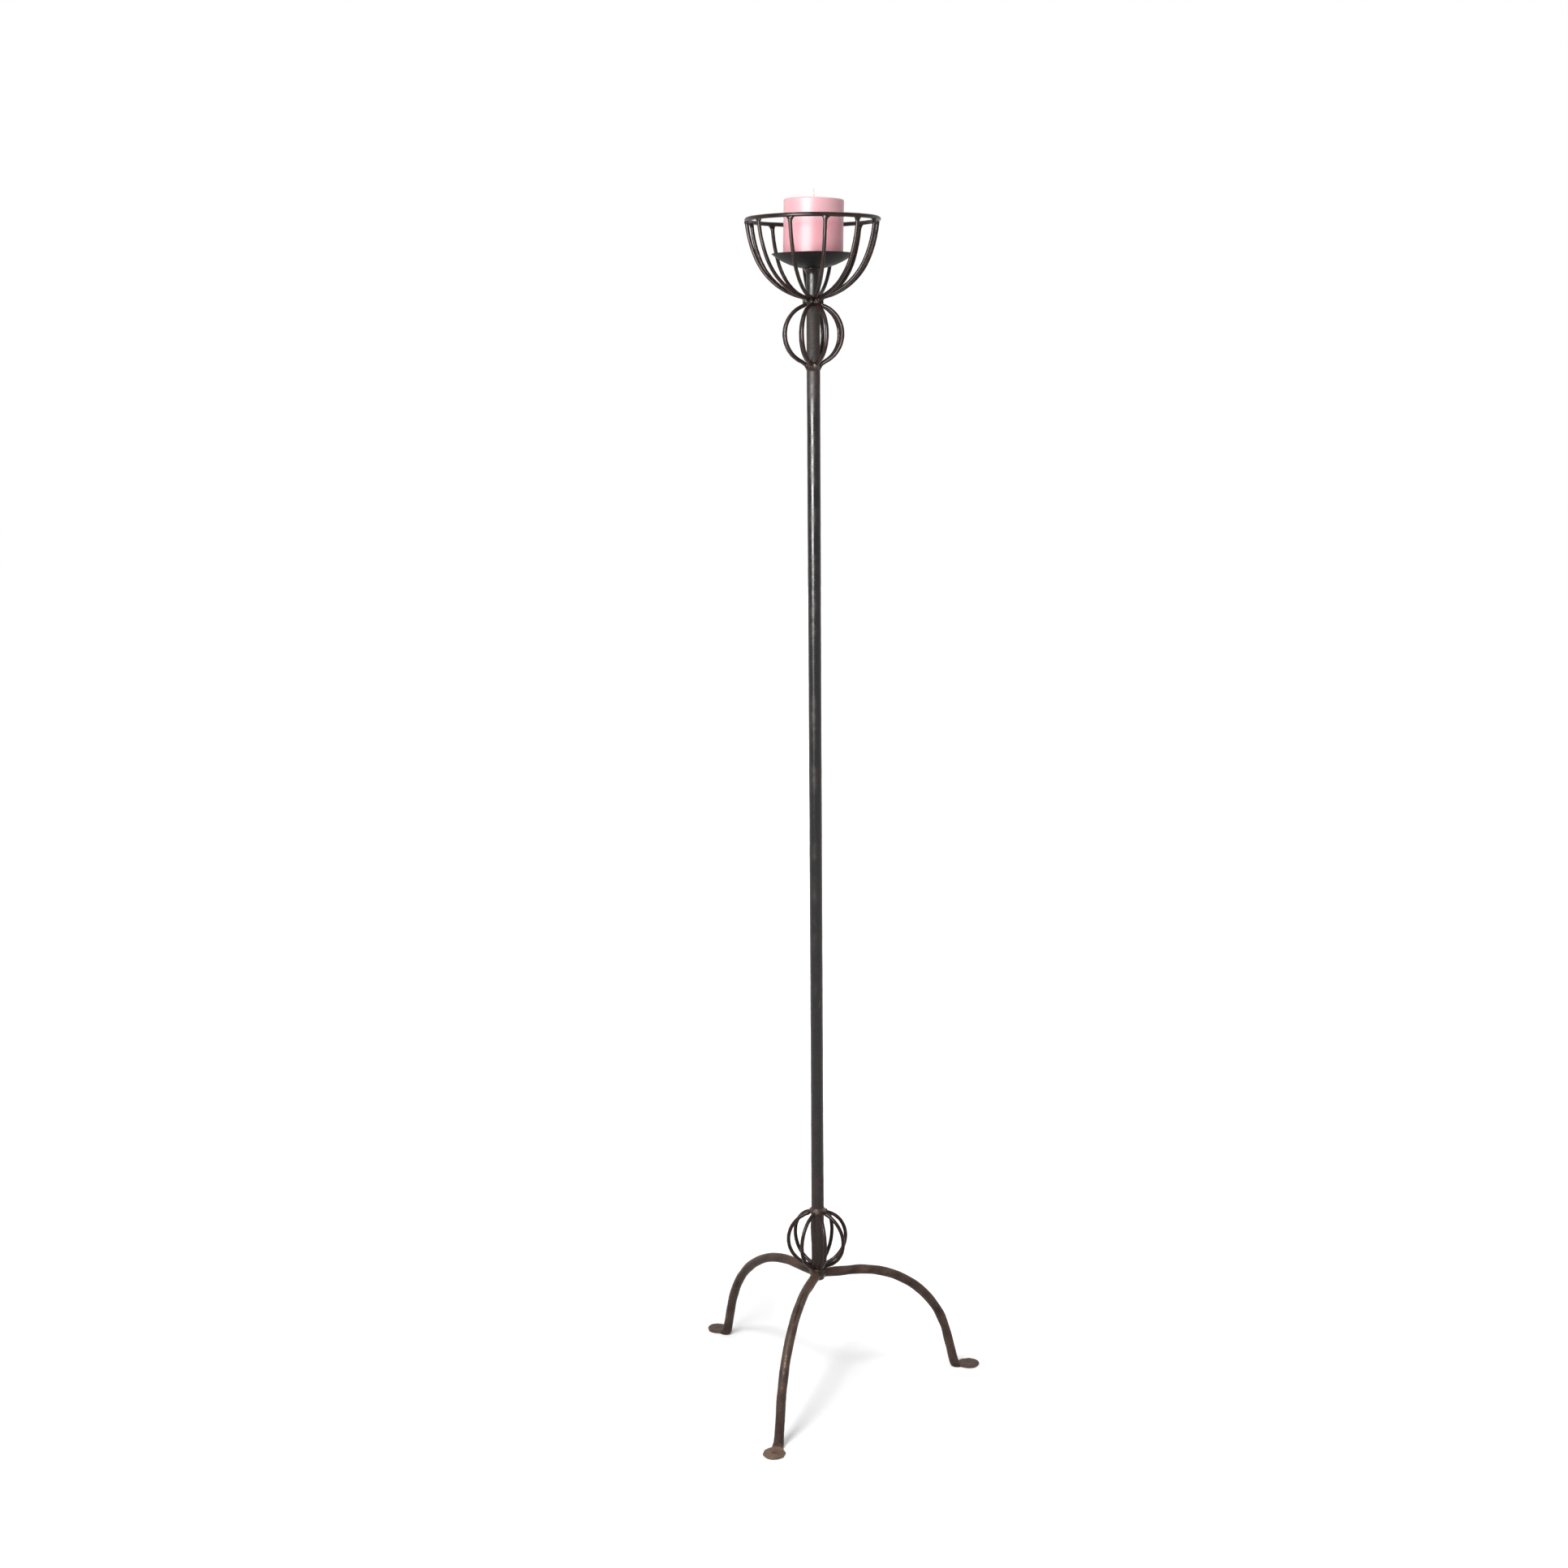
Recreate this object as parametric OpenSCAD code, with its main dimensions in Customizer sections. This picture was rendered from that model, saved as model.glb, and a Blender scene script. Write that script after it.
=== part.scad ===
// Torchere candle stand: a wrought-iron tripod with a tall tube column, a ball of bent loops
// at each end of it, and an open basket of ribs round a drip dish for one pillar candle.
// Millimetres. The origin is on the floor under the column's centre line, +Z is up and the
// front leg points to -Y.

/* [Column] */
// Outside diameter of the column tube
column_d = 17.2; // [16:0.1:19]
// Wall of the column tube
column_wall = 2.3; // [1.6:0.1:3.2]
// Bare length of the column between the two balls
shaft_len = 1132.5; // [600:0.5:1400]
// Length of the column from the foot of the ribs up to the dish
stem_len = 40.1; // [34:0.1:50]
// How far the column's foot reaches below the legs
column_drop = 1.5; // [0:0.1:6]

/* [Legs] */
// Diameter of the leg bars
leg_d = 12.7; // [10:0.1:15]
// Height of the legs' level run above the floor, to the bar's centre
leg_level = 158.5; // [145:0.5:220]
// Length of the level run, from the column's centre line
leg_run = 51; // [30:1:80]
// Bend radius of the leg's arch
leg_bend_r = 138; // [110:1:145]
// Outward slope of the straight shin, in degrees off vertical
leg_splay = 14; // [6:0.5:20]
// Diameter of the forged foot disc
foot_d = 30; // [24:0.5:40]
// Thickness of the foot disc
foot_t = 3; // [2:0.1:5]
// Distance from the leg's heel out to the middle of the foot disc
foot_reach = 19.5; // [17:0.5:26]
// Width of the waist between the heel and the disc
foot_waist_w = 10.5; // [8:0.1:12]

/* [Balls] */
// Diameter of the loops' rod
loop_d = 5; // [4:0.1:5.6]
// Radius of the lower ball, to the rod's centre
lower_ball_r = 40.3; // [36:0.1:44]
// Bend radius of a lower loop's main arc
lower_bend_r = 38.9; // [34:0.1:42]
// Bend radius at both ends of a lower loop
lower_end_r = 4; // [3:0.1:8]
// Length of rod that lies along the column at each end of a lower loop
lower_tail = 1; // [0.3:0.1:4]
// Radius of the upper ball, to the rod's centre
upper_ball_r = 38.3; // [34:0.1:42]
// Bend radius of an upper loop's main arc
upper_bend_r = 37.2; // [33:0.1:41]
// Softer bend radius at the foot of an upper loop
upper_foot_r = 9.6; // [6:0.1:12]
// Length of rod that lies along the column at the foot of an upper loop
upper_foot_tail = 2.5; // [1:0.1:6]
// Bend radius at the neck end of an upper loop
upper_neck_r = 3; // [3:0.1:6]
// Length of rod that lies along the column at the neck end of an upper loop
upper_neck_tail = 0.3; // [0.3:0.1:3]

/* [Basket] */
// Diameter of the rim ring, to the rod's centre
rim_d = 166.8; // [150:0.2:185]
// Diameter of the rim ring's rod
rim_rod_d = 5.6; // [4.6:0.1:7]
// Height of the basket, from the foot of the ribs to the rim's centre
basket_depth = 100.5; // [90:0.1:125]
// Diameter of the ribs' rod
rib_d = 4.8; // [4:0.1:5]
// Bend radius of a rib below the rim
rib_shoulder_r = 140; // [120:1:170]
// Where the shoulder bend ends, in degrees off vertical
rib_shoulder_angle = 24; // [18:1:28]
// Outward lean of a rib where it meets the rim, in degrees off vertical
rib_top_lean = 5; // [2:0.5:10]
// Bend radius of a rib at the neck
rib_neck_r = 5; // [4:0.5:8]
// Length of rib that lies along the column at the neck
rib_tail = 0.8; // [0.5:0.1:4]

/* [Dish and spike] */
// Diameter of the drip dish
dish_d = 105; // [96:0.5:115]
// Depth of the drip dish, outside
dish_depth = 18.8; // [15:0.1:22]
// Thickness of the dish's sheet
dish_t = 1.5; // [1:0.1:2.5]
// Diameter of the spike that holds the candle
spike_d = 6; // [4:0.1:8]
// Length of the spike's round shank
spike_shank = 22; // [15:0.5:28]
// Length of the spike's tapered tip
spike_tip = 10; // [6:0.5:14]

/* [Candle] */
// Diameter of the pillar candle
candle_d = 76.2; // [70:0.1:80]
// Height of the pillar candle
candle_h = 73.5; // [60:0.5:120]
// Radius of the candle's top and bottom edges
candle_edge_r = 1.2; // [0.5:0.1:3]
// Lean of the candle, in degrees
candle_lean = 1.3; // [0:0.1:2]
// Direction of the lean, in degrees from +X
candle_lean_turn = 16; // [0:1:359]
// Diameter of the wick
wick_d = 1.8; // [1.2:0.1:2.5]
// Length of wick that stands out of the candle
wick_out = 14.5; // [5:0.5:18]

/* [Welds and fits] */
// Height of the weld ring at the neck, between the ribs and the loops
neck_weld_h = 2; // [1.5:0.1:4]
// Height of the weld metal on top of the legs
hub_weld_h = 2.6; // [1.5:0.1:4]
// Height of the weld fillets that run out along the column
weld_run = 4.5; // [3:0.1:8]
// Diameter of the weld beads under the rim
rim_bead_d = 7.6; // [7:0.1:9]
// Width of the weld fillet under the dish
dish_weld_w = 3; // [2:0.1:5]
// Gap left between welded pieces, bridged by the weld metal
weld_gap = 0.1; // [0.05:0.01:0.2]
// Radial running clearance between the spike and the candle's socket
spike_gap = 0.3; // [0.2:0.05:0.5]
// Clearance between the candle and the dish
seat_gap = 0.3; // [0.2:0.05:0.6]

/* [Hidden] */
$fn = 48;
// Sides of the dish's large circles
dish_fn = 288;

// Directions of the legs, and of each loop and rib: even spacing, plus a hand-made stray of
// a few degrees each.
leg_turns = [271, 29, 149];
lower_turn = 28;
lower_strays = [6, 4, -1, -6, -9, 1, 3, 3];
upper_turn = 41;
upper_strays = [5, 2, 0, 5, -3, -1, 2, 6];
rib_turn = 26;
rib_strays = [1, 4, 2, 0, -1, -1, -4, -3, 1, 1, 2, -2];
loop_count = len(lower_strays);
rib_count = len(rib_strays);
rib_tightest = 360 / rib_count - 4;

// Bent runs of rod are this much thinner than straight ones, and lap into them by this much
bend_draw = 0.1;
bend_lap = 0.2;

column_r = column_d / 2;
leg_r = leg_d / 2;
rim_r = rim_d / 2;
dish_r = dish_d / 2;
candle_r = candle_d / 2;

// Radius at which rods stand round the column: against it, or as close as they pack
loop_seat_r = column_r + loop_d / 2 + weld_gap;
rib_pack_r = (rib_d / 2 + weld_gap) / sin(rib_tightest / 2);
rib_seat_r = max(column_r + rib_d / 2 + weld_gap, rib_pack_r);

// The leg's arch ends at the knee, and the shin runs straight from there to the heel
arch_z = leg_level - leg_bend_r;
knee_r = leg_run + leg_bend_r * cos(leg_splay);
knee_z = arch_z + leg_bend_r * sin(leg_splay);
heel_r = knee_r + knee_z * tan(leg_splay);
foot_r = heel_r + foot_reach;

// A loop's end bend turns it off the column by loop_turn_off, and its main arc then starts
// loop_rise from the ball's middle
function loop_turn_off(ball_r, bend_r, end_r) = acos(1 - (ball_r - loop_seat_r) / (bend_r + end_r));
function loop_rise(ball_r, bend_r, end_r) = (bend_r + end_r) * sin(loop_turn_off(ball_r, bend_r, end_r));

// Heights above the floor, from the bottom up
hub_top = leg_level + leg_r;
lower_foot = hub_top + hub_weld_h;
lower_mid = lower_foot + lower_tail + loop_rise(lower_ball_r, lower_bend_r, lower_end_r);
lower_top = lower_mid + loop_rise(lower_ball_r, lower_bend_r, lower_end_r) + lower_tail;
upper_foot = lower_top + shaft_len;
upper_mid = upper_foot + upper_foot_tail + loop_rise(upper_ball_r, upper_bend_r, upper_foot_r);
upper_top = upper_mid + loop_rise(upper_ball_r, upper_bend_r, upper_neck_r) + upper_neck_tail;
rib_foot = upper_top + neck_weld_h + 2 * weld_gap;
rim_z = rib_foot + basket_depth;
dish_foot = rib_foot + stem_len;

// A rib in its own radial plane, heights from its foot: the shoulder bend ends at rib_knee,
// and one large arc, the belly, runs from there to the bend at the neck
rib_end = [rim_r, basket_depth - rim_rod_d / 2 - weld_gap];
rib_in = [-cos(rib_shoulder_angle), sin(rib_shoulder_angle)];
shoulder_c = rib_end + rib_shoulder_r * [-cos(rib_top_lean), sin(rib_top_lean)];
rib_knee = shoulder_c - rib_shoulder_r * rib_in;
neck_c = [rib_seat_r + rib_neck_r, rib_tail];
knee_to_neck = rib_knee - neck_c;
belly_r = (knee_to_neck * knee_to_neck - rib_neck_r * rib_neck_r)
    / (2 * (rib_neck_r - knee_to_neck * rib_in));
belly_c = rib_knee + belly_r * rib_in;
neck_angle = atan2(belly_c[1] - neck_c[1], neck_c[0] - belly_c[0]);

// The dish is part of a sphere
dish_out_r = (dish_r * dish_r + dish_depth * dish_depth) / (2 * dish_depth);
dish_in_r = dish_out_r - dish_t;
dish_c = dish_foot + dish_out_r;
spike_z = dish_c - sqrt(dish_in_r * dish_in_r - spike_d * spike_d / 4) + weld_gap;

// The candle's lower edge rests in the dish, on the side that it leans to
candle_lift = (candle_r - candle_edge_r) * sin(candle_lean);
candle_z = dish_c + candle_lift - candle_edge_r
    - sqrt(pow(dish_in_r - candle_edge_r - seat_gap, 2) - pow(candle_r - candle_edge_r, 2));

iron = [0.17, 0.14, 0.13];
rusty = [0.25, 0.19, 0.16];
weld_grey = [0.3, 0.25, 0.23];
dish_black = [0.13, 0.13, 0.13];
wax_pink = [0.85, 0.56, 0.6];
wick_pale = [0.9, 0.85, 0.72];

// A bent run of rod in the X-Z plane: part of a ring about centre, from one angle to another
module bent_rod(centre, bend_r, from, to, d, lap = 0) {
    lap_angle = lap / bend_r * 180 / PI;
    translate([centre[0], 0, centre[1]])
        rotate([90, 0, 0])
            rotate([0, 0, from - lap_angle])
                rotate_extrude(angle = to - from + 2 * lap_angle)
                    translate([bend_r, 0])
                        circle(d = d);
}

// A ring of weld metal round the column; its section is a polygon of [radius, height]
module weld_ring(section) {
    rotate_extrude() polygon(section);
}

module column_tube() {
    foot = leg_level - leg_r - column_drop;
    length = dish_foot - weld_gap - foot;
    color(iron) translate([0, 0, foot]) difference() {
        cylinder(d = column_d, h = length);
        translate([0, 0, -1]) cylinder(d = column_d - 2 * column_wall, h = length + 2);
    }
}

// The level run at the hub, as far as the arch
module leg_level_run(d) {
    translate([0, 0, leg_level]) rotate([0, 90, 0]) cylinder(d = d, h = leg_run);
}

// One bar: level run, arch and shin, with its end forged out flat into a round foot
module leg(turn) {
    reach_down = knee_z / cos(leg_splay) + leg_d;
    color(rusty) rotate([0, 0, turn]) difference() {
        union() {
            leg_level_run(leg_d);
            bent_rod([leg_run, arch_z], leg_bend_r, leg_splay, 90, leg_d - bend_draw, bend_lap);
            translate([knee_r, 0, knee_z])
                rotate([0, 180 - leg_splay, 0]) cylinder(d = leg_d, h = reach_down);
            translate([heel_r, -foot_waist_w / 2, 0]) cube([foot_reach, foot_waist_w, foot_t]);
            translate([foot_r, 0, 0]) cylinder(d = foot_d, h = foot_t);
        }
        translate([0, 0, leg_level - leg_d]) cylinder(r = column_r + weld_gap, h = 2 * leg_d);
        translate([knee_r - leg_d, -leg_d, -2 * leg_d]) cube([6 * leg_d, 2 * leg_d, 2 * leg_d]);
    }
}

// Weld metal between the legs' ends and under the loops of the lower ball
module hub_weld() {
    foot = leg_level - leg_r;
    color(weld_grey) difference() {
        translate([0, 0, foot])
            cylinder(r = loop_seat_r + loop_d / 2, h = lower_foot - weld_gap - foot);
        translate([0, 0, foot - 1]) cylinder(r = column_r + weld_gap, h = 2 * leg_d);
        for (turn = leg_turns) rotate([0, 0, turn]) leg_level_run(leg_d + 2 * weld_gap);
    }
}

// One loop of a ball, standing against the column with both ends; low and high are each the
// [bend radius, length along the column] of an end
module ball_loop(mid, ball_r, bend_r, low, high) {
    low_angle = loop_turn_off(ball_r, bend_r, low[0]);
    high_angle = loop_turn_off(ball_r, bend_r, high[0]);
    low_rise = loop_rise(ball_r, bend_r, low[0]);
    high_rise = loop_rise(ball_r, bend_r, high[0]);
    thin_d = loop_d - bend_draw;
    color(iron) translate([0, 0, mid]) union() {
        bent_rod([ball_r - bend_r, 0], bend_r, -low_angle, high_angle, loop_d);
        bent_rod([loop_seat_r + high[0], high_rise], high[0], 180, 180 + high_angle, thin_d, bend_lap);
        bent_rod([loop_seat_r + low[0], -low_rise], low[0], 180 - low_angle, 180, thin_d, bend_lap);
        translate([loop_seat_r, 0, high_rise]) cylinder(d = loop_d, h = high[1]);
        translate([loop_seat_r, 0, -low_rise - low[1]]) cylinder(d = loop_d, h = low[1]);
    }
}

module lower_loop(i) {
    end = [lower_end_r, lower_tail];
    rotate([0, 0, lower_turn + (i - 1) * 360 / loop_count + lower_strays[i - 1]])
        ball_loop(lower_mid, lower_ball_r, lower_bend_r, end, end);
}

module upper_loop(i) {
    foot = [upper_foot_r, upper_foot_tail];
    neck = [upper_neck_r, upper_neck_tail];
    rotate([0, 0, upper_turn + (i - 1) * 360 / loop_count + upper_strays[i - 1]])
        ball_loop(upper_mid, upper_ball_r, upper_bend_r, foot, neck);
}

// Weld fillet from the tops of the lower loops up along the column
module lower_ball_weld() {
    in_r = column_r + weld_gap;
    out_r = loop_seat_r + loop_d / 2;
    color(weld_grey) translate([0, 0, lower_top + weld_gap])
        weld_ring([[in_r, 0], [out_r, 0], [out_r - 1, 1.2], [in_r + 1, weld_run], [in_r, weld_run]]);
}

// Weld fillet from the feet of the upper loops down along the column
module upper_ball_weld() {
    in_r = column_r + weld_gap;
    out_r = loop_seat_r + loop_d / 2;
    color(weld_grey) translate([0, 0, upper_foot - weld_gap]) mirror([0, 0, 1])
        weld_ring([[in_r, 0], [out_r - 0.5, 0], [in_r + 2, 2], [in_r + 0.6, weld_run], [in_r, weld_run]]);
}

// Weld ring at the neck, between the tops of the upper loops and the feet of the ribs
module neck_weld() {
    in_r = column_r + weld_gap;
    out_r = rib_seat_r + rib_d / 2;
    color(weld_grey) translate([0, 0, upper_top + weld_gap])
        weld_ring([[in_r, 0], [out_r - 0.4, 0], [out_r, neck_weld_h / 2],
            [out_r - 0.4, neck_weld_h], [in_r, neck_weld_h]]);
}

module rib_place(i) {
    rotate([0, 0, rib_turn + (i - 1) * 360 / rib_count + rib_strays[i - 1]])
        translate([0, 0, rib_foot])
            children();
}

module basket_rib(i) {
    thin_d = rib_d - bend_draw;
    color(iron) rib_place(i) union() {
        bent_rod(shoulder_c, rib_shoulder_r, -rib_shoulder_angle, -rib_top_lean, rib_d);
        bent_rod(belly_c, belly_r, -neck_angle, -rib_shoulder_angle, thin_d, bend_lap);
        bent_rod(neck_c, rib_neck_r, 180 - neck_angle, 180, thin_d - bend_draw, bend_lap);
        translate([rib_seat_r, 0, 0]) cylinder(d = rib_d, h = rib_tail);
    }
}

module rim_ring() {
    color(iron) translate([0, 0, rim_z])
        rotate_extrude() translate([rim_r, 0]) circle(d = rim_rod_d);
}

// A bead of weld metal round the top of each rib, up against the rim; over the bead's width
// the rib and the rim are near enough straight for straight cuts with twice the gap
module rim_welds() {
    cut_len = 2 * rim_bead_d;
    color(weld_grey) for (i = [1:rib_count]) rib_place(i) translate([rib_end[0], 0, rib_end[1]])
        difference() {
            sphere(d = rim_bead_d);
            rotate([0, 180 + rib_top_lean, 0]) translate([0, 0, -weld_gap])
                cylinder(d = rib_d + 4 * weld_gap, h = cut_len);
            translate([0, 0, rim_rod_d / 2 + weld_gap]) rotate([90, 0, 0])
                cylinder(d = rim_rod_d + 4 * weld_gap, h = cut_len, center = true);
        }
}

// Weld fillet between the top of the column and the underside of the dish
module dish_weld() {
    in_r = column_r + weld_gap;
    color(weld_grey) translate([0, 0, dish_foot]) rotate_extrude() difference() {
        polygon([[in_r, -2 * dish_weld_w], [in_r + 0.5, -2 * dish_weld_w],
            [in_r + dish_weld_w, 0], [in_r + dish_weld_w, 2], [in_r, 2]]);
        translate([0, dish_out_r]) circle(r = dish_out_r + weld_gap, $fn = dish_fn);
    }
}

// Shallow round-bottomed dish of thin sheet
module drip_dish() {
    color(dish_black) translate([0, 0, dish_foot]) rotate_extrude() intersection() {
        difference() {
            translate([0, dish_out_r]) circle(r = dish_out_r, $fn = dish_fn);
            translate([0, dish_out_r]) circle(r = dish_in_r, $fn = dish_fn);
        }
        square([dish_d, dish_depth]);
    }
}

module pricket_spike() {
    color(iron) translate([0, 0, spike_z]) {
        cylinder(d = spike_d, h = spike_shank);
        translate([0, 0, spike_shank]) cylinder(d1 = spike_d, d2 = spike_d / 6, h = spike_tip);
    }
}

// Places what leans with the candle: its local origin is the middle of the candle's foot
module candle_place() {
    translate([0, 0, candle_z])
        rotate([0, 0, candle_lean_turn]) rotate([0, candle_lean, 0]) children();
}

module candle() {
    edge = candle_edge_r;
    // The socket's round part runs past the spike's shoulder, into the tapered part
    socket_d = spike_d + 2 * spike_gap;
    color(wax_pink) difference() {
        candle_place() rotate_extrude() {
            square([candle_r - edge, candle_h]);
            translate([0, edge]) square([candle_r, candle_h - 2 * edge]);
            for (height = [edge, candle_h - edge]) translate([candle_r - edge, height]) circle(r = edge);
        }
        translate([0, 0, dish_foot]) cylinder(d = socket_d, h = spike_z + spike_shank + spike_gap - dish_foot);
        translate([0, 0, spike_z + spike_shank])
            cylinder(d1 = socket_d, d2 = spike_d / 6 + 2 * spike_gap, h = spike_tip + seat_gap);
        candle_place() translate([0, 0, candle_h / 2]) cylinder(d = wick_d + 2 * weld_gap, h = candle_h);
    }
}

module candle_wick() {
    color(wick_pale) candle_place() translate([0, 0, candle_h / 2 + weld_gap])
        cylinder(d = wick_d, h = candle_h / 2 + wick_out);
}

column_tube();
leg(leg_turns[0]);  // leg_front
leg(leg_turns[1]);  // leg_right
leg(leg_turns[2]);  // leg_left
hub_weld();
lower_ball_weld();
for (i = [1:loop_count]) lower_loop(i);
upper_ball_weld();
for (i = [1:loop_count]) upper_loop(i);
neck_weld();
for (i = [1:rib_count]) basket_rib(i);
rim_ring();
rim_welds();
dish_weld();
drip_dish();
pricket_spike();
candle();
candle_wick();
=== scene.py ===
"""Looks of the torchere candle stand: hand-bent iron, weld metal, a spun dish and a wax candle.

The stand keeps the construction's sizes. Shapes are worked out in millimetres in the row frame,
and mesh_piece() turns them into metres.
"""

import math

import bpy
import numpy as np
from mathutils import Matrix, Vector


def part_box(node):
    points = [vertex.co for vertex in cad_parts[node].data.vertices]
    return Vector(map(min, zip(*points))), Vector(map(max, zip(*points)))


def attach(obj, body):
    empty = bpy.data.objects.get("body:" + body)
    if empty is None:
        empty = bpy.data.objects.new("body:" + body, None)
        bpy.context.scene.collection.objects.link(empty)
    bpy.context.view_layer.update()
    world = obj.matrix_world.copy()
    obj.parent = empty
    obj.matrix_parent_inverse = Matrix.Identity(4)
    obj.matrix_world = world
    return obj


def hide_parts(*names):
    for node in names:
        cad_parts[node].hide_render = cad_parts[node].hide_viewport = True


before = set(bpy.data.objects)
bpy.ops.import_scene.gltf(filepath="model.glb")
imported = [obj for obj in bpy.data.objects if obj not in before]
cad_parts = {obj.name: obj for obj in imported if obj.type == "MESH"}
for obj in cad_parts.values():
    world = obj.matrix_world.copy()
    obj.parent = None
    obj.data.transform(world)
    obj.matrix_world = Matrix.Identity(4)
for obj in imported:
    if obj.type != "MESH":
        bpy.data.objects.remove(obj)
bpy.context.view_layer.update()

MM = 0.001
TAU = 2 * math.pi


# ---------------------------------------------------------------------------
# Sizes, in millimetres, and directions round the column, in degrees
# ---------------------------------------------------------------------------

def span(cad_node):
    """Lowest and highest corner of a construction node."""
    low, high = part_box(cad_node)
    return np.array(low) / MM, np.array(high) / MM


column_low, column_high = span("column_tube")
COLUMN_R = (column_high[0] - column_low[0]) / 2
COLUMN_FOOT, COLUMN_TOP = column_low[2], column_high[2]
COLUMN_WALL = 2.3
INSIDE_WALL = COLUMN_R - 0.6

# A leg: its level run, its arch, its straight shin, its heel bend and its foot
LEG_R = 6.35
LEG_LEVEL = 158.5
LEG_RUN = 51
LEG_BEND_R = 138
LEG_SPLAY = 14
LEG_TURNS = {"leg_front": 271, "leg_right": 29, "leg_left": 149}
HEEL_BEND_R = 8
HEEL_HALF_W = 7.2
FOOT_R = 15
FOOT_HALF_T = 1.5
FOOT_REACH = 19.5

# The balls: the widest radius, the main arc's radius, and the bend radius and the straight
# length of each end of a loop
LOOP_R = 2.5
LOOP_SEAT_R = COLUMN_R + LOOP_R + 0.1
LOWER_BALL = {"ball_r": 40.3, "bend_r": 38.9, "low": (4, 1), "high": (4, 1)}
UPPER_BALL = {"ball_r": 38.3, "bend_r": 37.2, "low": (9.6, 2.5), "high": (3, 0.3)}
LOWER_TURNS = 28 + 45 * np.arange(8) + np.array([6, 4, -1, -6, -9, 1, 3, 3])
UPPER_TURNS = 41 + 45 * np.arange(8) + np.array([5, 2, 0, 5, -3, -1, 2, 6])
LOWER_FOOT, LOWER_TOP = span("lower_loop_1")[0][2], span("lower_loop_1")[1][2]
UPPER_FOOT, UPPER_TOP = span("upper_loop_1")[0][2], span("upper_loop_1")[1][2]

# The basket's ribs
RIB_R = 2.4
RIB_SEAT_R = 11.11
RIB_TAIL = 0.8
RIB_NECK_R = 5
RIB_SHOULDER_R = 140
RIB_SHOULDER_ANGLE = 24
RIB_TOP_LEAN = 5
RIB_TURNS = 26 + 30 * np.arange(12) + np.array([1, 4, 2, 0, -1, -1, -4, -3, 1, 1, 2, -2])
RIB_FOOT = span("basket_rib_1")[0][2]

# How far each rod's end at the neck leans round the column
UPPER_SWAY = (0, 2, -2, 1, 3, 14, -5, -2)
RIB_SWAY = (1, -2, 2, 0, -2, 1, 3, 2, 9, 11, -3, 2)

rim_low, rim_high = span("rim_ring")
RIM_ROD_R = (rim_high[2] - rim_low[2]) / 2
RIM_Z = (rim_high[2] + rim_low[2]) / 2
RIM_R = (rim_high[0] - rim_low[0]) / 2 - RIM_ROD_R

dish_low, dish_high = span("drip_dish")
DISH_FOOT = dish_low[2]
DISH_R = (dish_high[0] - dish_low[0]) / 2
DISH_DEPTH = dish_high[2] - dish_low[2]
DISH_T = 1.5
DISH_BALL_R = (DISH_R ** 2 + DISH_DEPTH ** 2) / (2 * DISH_DEPTH)

CANDLE_R = 38.1
CANDLE_H = 73.5
CANDLE_EDGE_R = 1.6
CANDLE_LEAN = 1.3
CANDLE_LEAN_TURN = 16
WICK_R = 0.9
WICK_OUT = 14.5
SPIKE_R = 3
SPIKE_GAP = 0.3
SPIKE_LOW, SPIKE_HIGH = span("pricket_spike")


# ---------------------------------------------------------------------------
# Surfaces on a grid of rows along a piece and columns around it
# ---------------------------------------------------------------------------

def bumps(along, around, seed, long_wave, lobes):
    """Slow unevenness of about 1 either way: the sum of seeded cosine waves, over the square root
    of their number. They run along the piece, a long_wave or so from crest to crest, and up to
    `lobes` times around it."""
    waves, slowest, fastest = 14, 0.35, 1.7
    rng = np.random.default_rng(seed)
    rate = rng.uniform(slowest, fastest, waves) * TAU / long_wave
    lobe = rng.integers(0, lobes + 1, waves)
    phase = rng.uniform(0, TAU, waves)
    run = np.asarray(along, float)[:, None, None] * rate
    turn = np.asarray(around, float)[None, :, None] * lobe
    return np.cos(run + turn + phase).sum(-1) / math.sqrt(waves)


def ease(value, start, end):
    """A smooth step from 0 at start to 1 at end, with level ends."""
    share = np.clip((np.asarray(value, float) - start) / (end - start), 0, 1)
    return share * share * (3 - 2 * share)


def angles(sides):
    """Evenly spaced directions round a section, from 0."""
    return np.linspace(0, TAU, sides, endpoint=False)


def grid_faces(rows, columns, looped):
    """Corner indices of the quads between neighbouring rows, and of the fans that close the two
    end rows on a centre point each, which come after the grid's own points. The last row of a
    looped grid meets its first, and it has no fans."""
    index = np.arange(rows * columns).reshape(rows, columns)
    beside = np.roll(index, -1, axis=1)
    if looped:
        above, above_beside = np.roll(index, -1, axis=0), np.roll(beside, -1, axis=0)
        quads = np.stack((index, beside, above_beside, above), -1).reshape(-1, 4)
        return quads, np.zeros((0, 3), int)
    quads = np.stack((index[:-1], beside[:-1], beside[1:], index[1:]), -1).reshape(-1, 4)
    low, high = rows * columns, rows * columns + 1
    low_fan = np.stack((beside[0], index[0], np.full(columns, low)), -1)
    high_fan = np.stack((index[-1], beside[-1], np.full(columns, high)), -1)
    return quads, np.concatenate((low_fan, high_fan))


def volume_sign(points, quads, fans):
    """Positive where the faces point outwards: the sign of the volume that they enclose."""
    triangles = np.concatenate((quads[:, [0, 1, 2]], quads[:, [0, 2, 3]], fans))
    a, b, c = (points[triangles[:, k]] for k in range(3))
    return np.sign(np.einsum("ij,ij->i", a, np.cross(b, c)).sum())


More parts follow.
